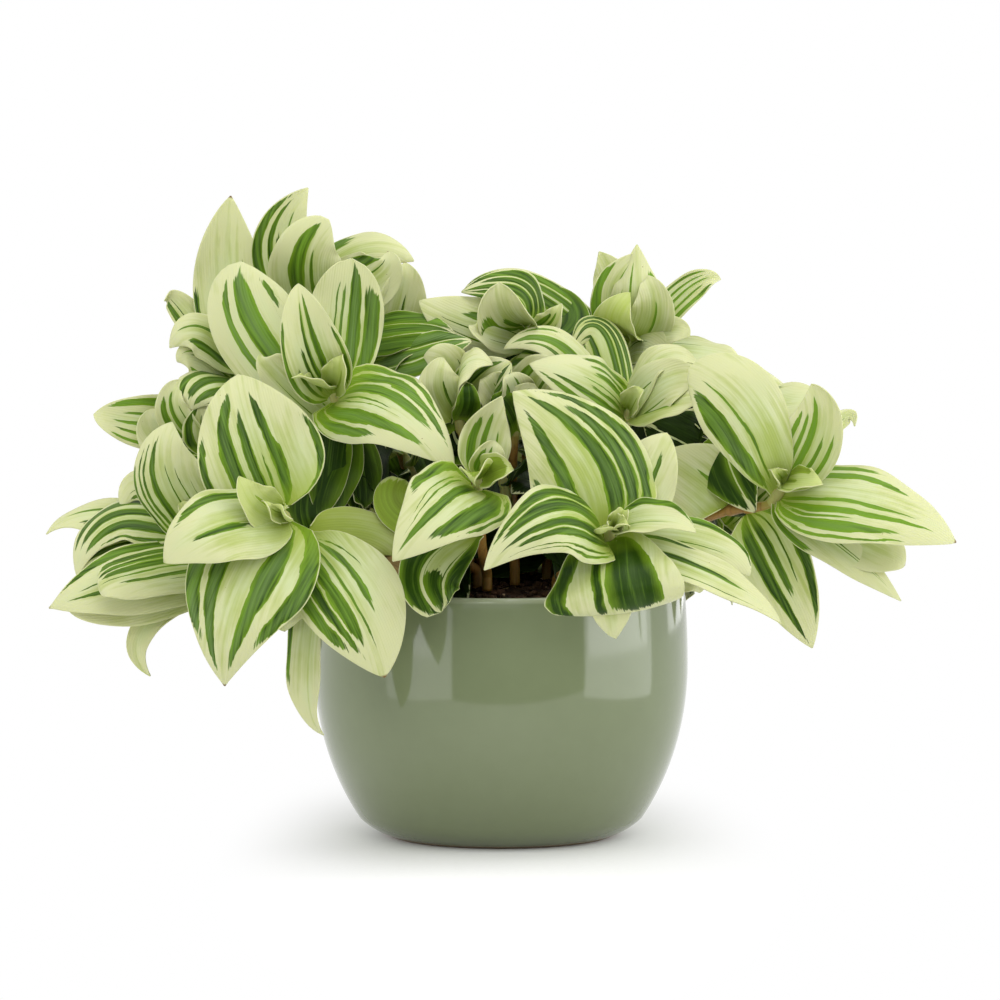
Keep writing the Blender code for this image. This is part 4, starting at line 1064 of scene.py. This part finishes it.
def fleshyStem():
    # watery and smooth: green and glossy near the tip, golden and corky at the base and nodes
    material, tree, shader = newMaterial("fleshyStem")
    place = addNode(tree, "TexCoord").outputs["Object"]
    sheath = addNode(tree, "UVMap", uv_map="sheath")
    grown, cover = addNode(tree, "SeparateXYZ", {0: sheath}).outputs[:2]
    patch = addNode(tree, "TexNoise", {"Vector": place, "Scale": 1 / (stem["patch"] * mm), "Detail": 3.0})
    age = addNode(tree, "Math", {0: patch, 1: 0.6, 2: grown}, operation="MULTIPLY_ADD")
    green = addNode(tree, "MapRange", {0: age, 1: 0.9, 2: 0.5})
    body = addNode(tree, "Mix", {0: green, 6: hexColour(stem["old"]), 7: hexColour(stem["green"])},
                   data_type="RGBA")
    fibre = addNode(tree, "Mapping", {"Vector": place, "Scale": [1 / (size * mm) for size in stem["fibre"]]})
    streak = addNode(tree, "TexNoise", {"Vector": fibre, "Scale": 1.0, "Detail": 2.0})
    dark = addNode(tree, "MapRange", {0: streak, 1: 0.5, 2: 0.75, 3: 0.0, 4: 0.6})
    striped = addNode(tree, "Mix", {0: dark, 6: body, 7: hexColour(stem["node"])}, data_type="RGBA")
    covered = addNode(tree, "MapRange", {0: cover, 1: 0.05, 2: 0.35, 3: 0.0, 4: 0.75})
    wrapped = addNode(tree, "Math", {0: covered, 1: green}, operation="MULTIPLY")
    colour = addNode(tree, "Mix", {0: wrapped, 6: striped, 7: hexColour(stem["wrap"])}, data_type="RGBA")
    bump = addNode(tree, "Bump", {"Strength": 0.3, "Distance": stem["relief"] * mm, "Height": streak})
    feed(tree, shader, {
        "Base Color": colour, "Normal": bump, "Roughness": stem["roughness"], "IOR": stem["ior"],
        "Subsurface Weight": stem["throughLight"], "Subsurface Scale": stem["lightReach"] * mm})
    return material


def evenPath(path, step):
    # the same path with a point every step
    lengths = [(after - before).length for before, after in zip(path, path[1:])]
    total = sum(lengths)
    count = max(int(total / step), 2)
    return [belowTip(path, total * (1 - i / count))[0] for i in range(count)] + [path[-1]], total


def stemMesh(name, path, drops):
    # rings along the path, fatter at the nodes, with the leaf's sheath round the stem above each
    spots, total = evenPath(path, stem["ringStep"])
    sides = stem["sides"]

    def build(cage):
        mask = cage.loops.layers.uv.new("sheath")
        rings, marks = [], []
        side = Vector((1, 0, 0))
        for i, spot in enumerate(spots):
            ahead = (spots[min(i + 1, len(spots) - 1)] - spots[max(i - 1, 0)]).normalized()
            side = (side - side.dot(ahead) * ahead).normalized()
            other = ahead.cross(side)
            fromTip = total * (1 - i / (len(spots) - 1))
            above = min((drop - fromTip for drop in drops if drop >= fromTip - stem["sheathBelow"]),
                        default=math.inf)
            covered = max(0.0, 1 - above / stem["sheathLength"])
            radius = stem["radius"] * (1 - (1 - stem["thin"]) * i / len(spots)) + stem["sheath"] * covered
            radius *= math.sqrt(min(1.0, (fromTip + stem["tipRound"]) / stem["tipLength"]))
            turns = [math.tau * k / sides for k in range(sides)]
            rings.append([cage.verts.new((spot + (side * math.cos(t) + other * math.sin(t)) * radius) * mm)
                          for t in turns])
            marks.append((fromTip / stem["grownUp"], covered))
        for i, (low, high) in enumerate(zip(rings, rings[1:])):
            (age, cover), (_, nextCover) = marks[i:i + 2]
            for k in range(sides):
                after = (k + 1) % sides
                wall = cage.faces.new((low[k], low[after], high[after], high[k]))
                for corner, covered in zip(wall.loops, (cover, cover, nextCover, nextCover)):
                    corner[mask].uv = (age, covered)
        cage.faces.new(list(reversed(rings[0])))
        cage.faces.new(rings[-1])
    return meshFrom(name, build)


stemMaterial = fleshyStem()
for shoot, parts in shoots.items():
    path = stemPath(parts["soil"], parts["route"])
    rng = random.Random(shoot)
    inCad = "extra" not in parts
    leaves, more = parts["leaves"], parts.get("more", [])
    whorl = whorlRows(path, parts["whorl"], rng) if "whorl" in parts else []
    name = "shoot_" + shoot
    newPiece(name, stemMesh(name, path, [row[0] for row in leaves + more + whorl]),
             stemMaterial, "stem", *(["stem_" + shoot] if inCad else []))
    for number, row in enumerate(leaves, 1):
        addLeaves(f"blade_{shoot}_{number}", path, [row], rng, leafShape["grid"],
                  *([f"leaf_{shoot}_{number}"] if inCad else []))
    for number, row in enumerate(more, 1):
        addLeaves(f"young_{shoot}_{number}", path, [row], rng, leafShape["grid"])
    if whorl:
        addLeaves("whorl_" + shoot, path, whorl, rng, whorlShape["grid"])
print("shoots done:", len(shoots))


# plain studio: a paper floor that fades to white through a painted glow, and soft light from wide boxes
# round the plant
studio = {
    "paper": "#F3F3F2", "palePaper": "#FAFAFA", "paperFibre": 2.5,    # mm
    "floorHalf": 60.0,                           # m
    # the paper's painted glow is dark in an oval under the plant: its middle in m, how much shorter it
    # counts from front to back, and where its glow starts and is full
    "darkMiddle": (0, 0.08, 0), "darkStretch": 0.3, "glowFrom": 0.035, "glowFull": 0.125,
    "roomLight": 0.62,
    # turn from the front towards the right, distance, width, height, lower edge, power
    "softboxes": {
        "right_softbox": (76, 1.10, 0.92, 0.90, 0.02, 5.5),
        "right_rear_softbox": (140, 1.10, 0.70, 0.80, 0.02, 3.0),
        "left_softbox": (-62, 1.20, 1.10, 0.90, 0.02, 3.8),
        "front_softbox": (4, 2.10, 1.60, 0.70, 0.90, 8.7),
    },
    "topSize": (1.6, 1.4), "topPlace": (0.1, -0.3, 1.5), "topAim": (0, 0, 0.15), "topPower": 12.0,
    # low panels that light only the glaze, with its broad soft shine on both sides
    "lowPanels": {
        "left_panel": (-47, 0.37, 0.27, 0.13, 0.0, 0.11),
        "right_panel": (72, 0.37, 0.34, 0.13, 0.0, 0.26),
    },
    "card": (-0.17, 0.39, -0.337, 0.125),                # left, right, front and height in m
    "cameraPlace": (0, -2.5, 0.345), "aim": (-0.0004, 0, 0.1465), "lens": 207.0,
}


def addSoftbox(name, place, aim, size, power):
    lamp = bpy.data.lights.new(name, "AREA")
    lamp.shape = "RECTANGLE"
    lamp.size, lamp.size_y = size
    lamp.energy = power
    box = bpy.data.objects.new(name, lamp)
    box.location = place
    box.rotation_euler = (Vector(aim) - Vector(place)).to_track_quat("-Z", "Y").to_euler()
    box.visible_camera = False
    bpy.context.scene.collection.objects.link(box)
    return box


def whiteRoom():
    # the room gives less light than its white walls show
    world = bpy.data.worlds.new("whiteRoom")
    world.use_nodes = True
    tree = world.node_tree
    seen = addNode(tree, "LightPath").outputs["Is Camera Ray"]
    strength = addNode(tree, "MapRange", {0: seen, 3: studio["roomLight"], 4: 1.0})
    feed(tree, tree.nodes["Background"], {"Color": (1, 1, 1, 1), "Strength": strength})
    return world


def whitePaper():
    # matt uncoated paper that glows with painted light, no lamp, outside an oval under the plant, so that
    # shadows stay close to the pot
    material, tree, shader = newMaterial("mattPaperWithPaintedGlow")
    place = addNode(tree, "TexCoord").outputs["Object"]
    scale = 1 / (studio["paperFibre"] * mm)
    fibre = addNode(tree, "TexNoise", {"Vector": place, "Scale": scale, "Detail": 2.0})
    tone = addNode(tree, "Mix", {0: fibre, 6: hexColour(studio["paper"]),
                                 7: hexColour(studio["palePaper"])}, data_type="RGBA")
    fromMiddle = addNode(tree, "VectorMath", {0: place, 1: studio["darkMiddle"]}, operation="ADD")
    oval = addNode(tree, "VectorMath", {0: fromMiddle, 1: (1, studio["darkStretch"], 1)},
                   operation="MULTIPLY")
    reach = addNode(tree, "VectorMath", {0: oval}, operation="LENGTH").outputs["Value"]
    # painted glow: the paper itself emits white light, full away from the plant, none in the oval under it
    glow = addNode(tree, "MapRange", {0: reach, 1: studio["glowFrom"], 2: studio["glowFull"]},
                   interpolation_type="SMOOTHSTEP")
    colour = addNode(tree, "Mix", {0: glow, 6: tone, 7: (0, 0, 0, 1)}, data_type="RGBA")
    feed(tree, shader, {"Base Color": colour, "Roughness": 0.9, "Specular IOR Level": 0.0,
                        "Emission Color": (1, 1, 1, 1), "Emission Strength": glow})
    return material


def blackFlock():
    # velvet black card, which reflects nothing
    material, tree, shader = newMaterial("blackFlockedCard")
    feed(tree, shader, {"Base Color": (0, 0, 0, 1), "Roughness": 1.0, "Specular IOR Level": 0.0})
    return material


def addStage(name, corners, material):
    def build(cage):
        cage.faces.new([cage.verts.new(corner) for corner in corners])
    sheet = bpy.data.objects.new(name, meshFrom(name, build))
    sheet.data.materials.append(material)
    bpy.context.scene.collection.objects.link(sheet)
    return sheet


def buildStudio():
    scene = bpy.context.scene
    scene.view_settings.view_transform = "Standard"
    scene.world = whiteRoom()
    half = studio["floorHalf"]
    addStage("paper_floor", [(-half, -half, 0), (half, -half, 0), (half, half, 0), (-half, half, 0)],
             whitePaper())

    # the card shows only in the glaze, as the dark gap between the softboxes
    left, right, front, top = studio["card"]
    card = addStage("black_card", [(left, front, 0), (right, front, 0), (right, front, top),
                                   (left, front, top)], blackFlock())
    card.visible_camera = card.visible_diffuse = card.visible_transmission = card.visible_shadow = False

    boxes = studio["softboxes"] | studio["lowPanels"]
    for name, (turn, far, width, height, low, power) in boxes.items():
        turn = math.radians(turn)
        spot = (far * math.sin(turn), -far * math.cos(turn), low + height / 2)
        box = addSoftbox(name, spot, (0, 0, spot[2]), (width, height), power)
        box.visible_diffuse = box.visible_transmission = name not in studio["lowPanels"]
    addSoftbox("top_softbox", studio["topPlace"], studio["topAim"], studio["topSize"], studio["topPower"])

    camera = bpy.data.objects.new("camera", bpy.data.cameras.new("camera"))
    camera.data.lens = studio["lens"]
    camera.location = studio["cameraPlace"]
    look = Vector(studio["aim"]) - Vector(studio["cameraPlace"])
    camera.rotation_euler = look.to_track_quat("-Z", "Y").to_euler()
    scene.collection.objects.link(camera)
    scene.camera = camera


buildStudio()
print("studio done")
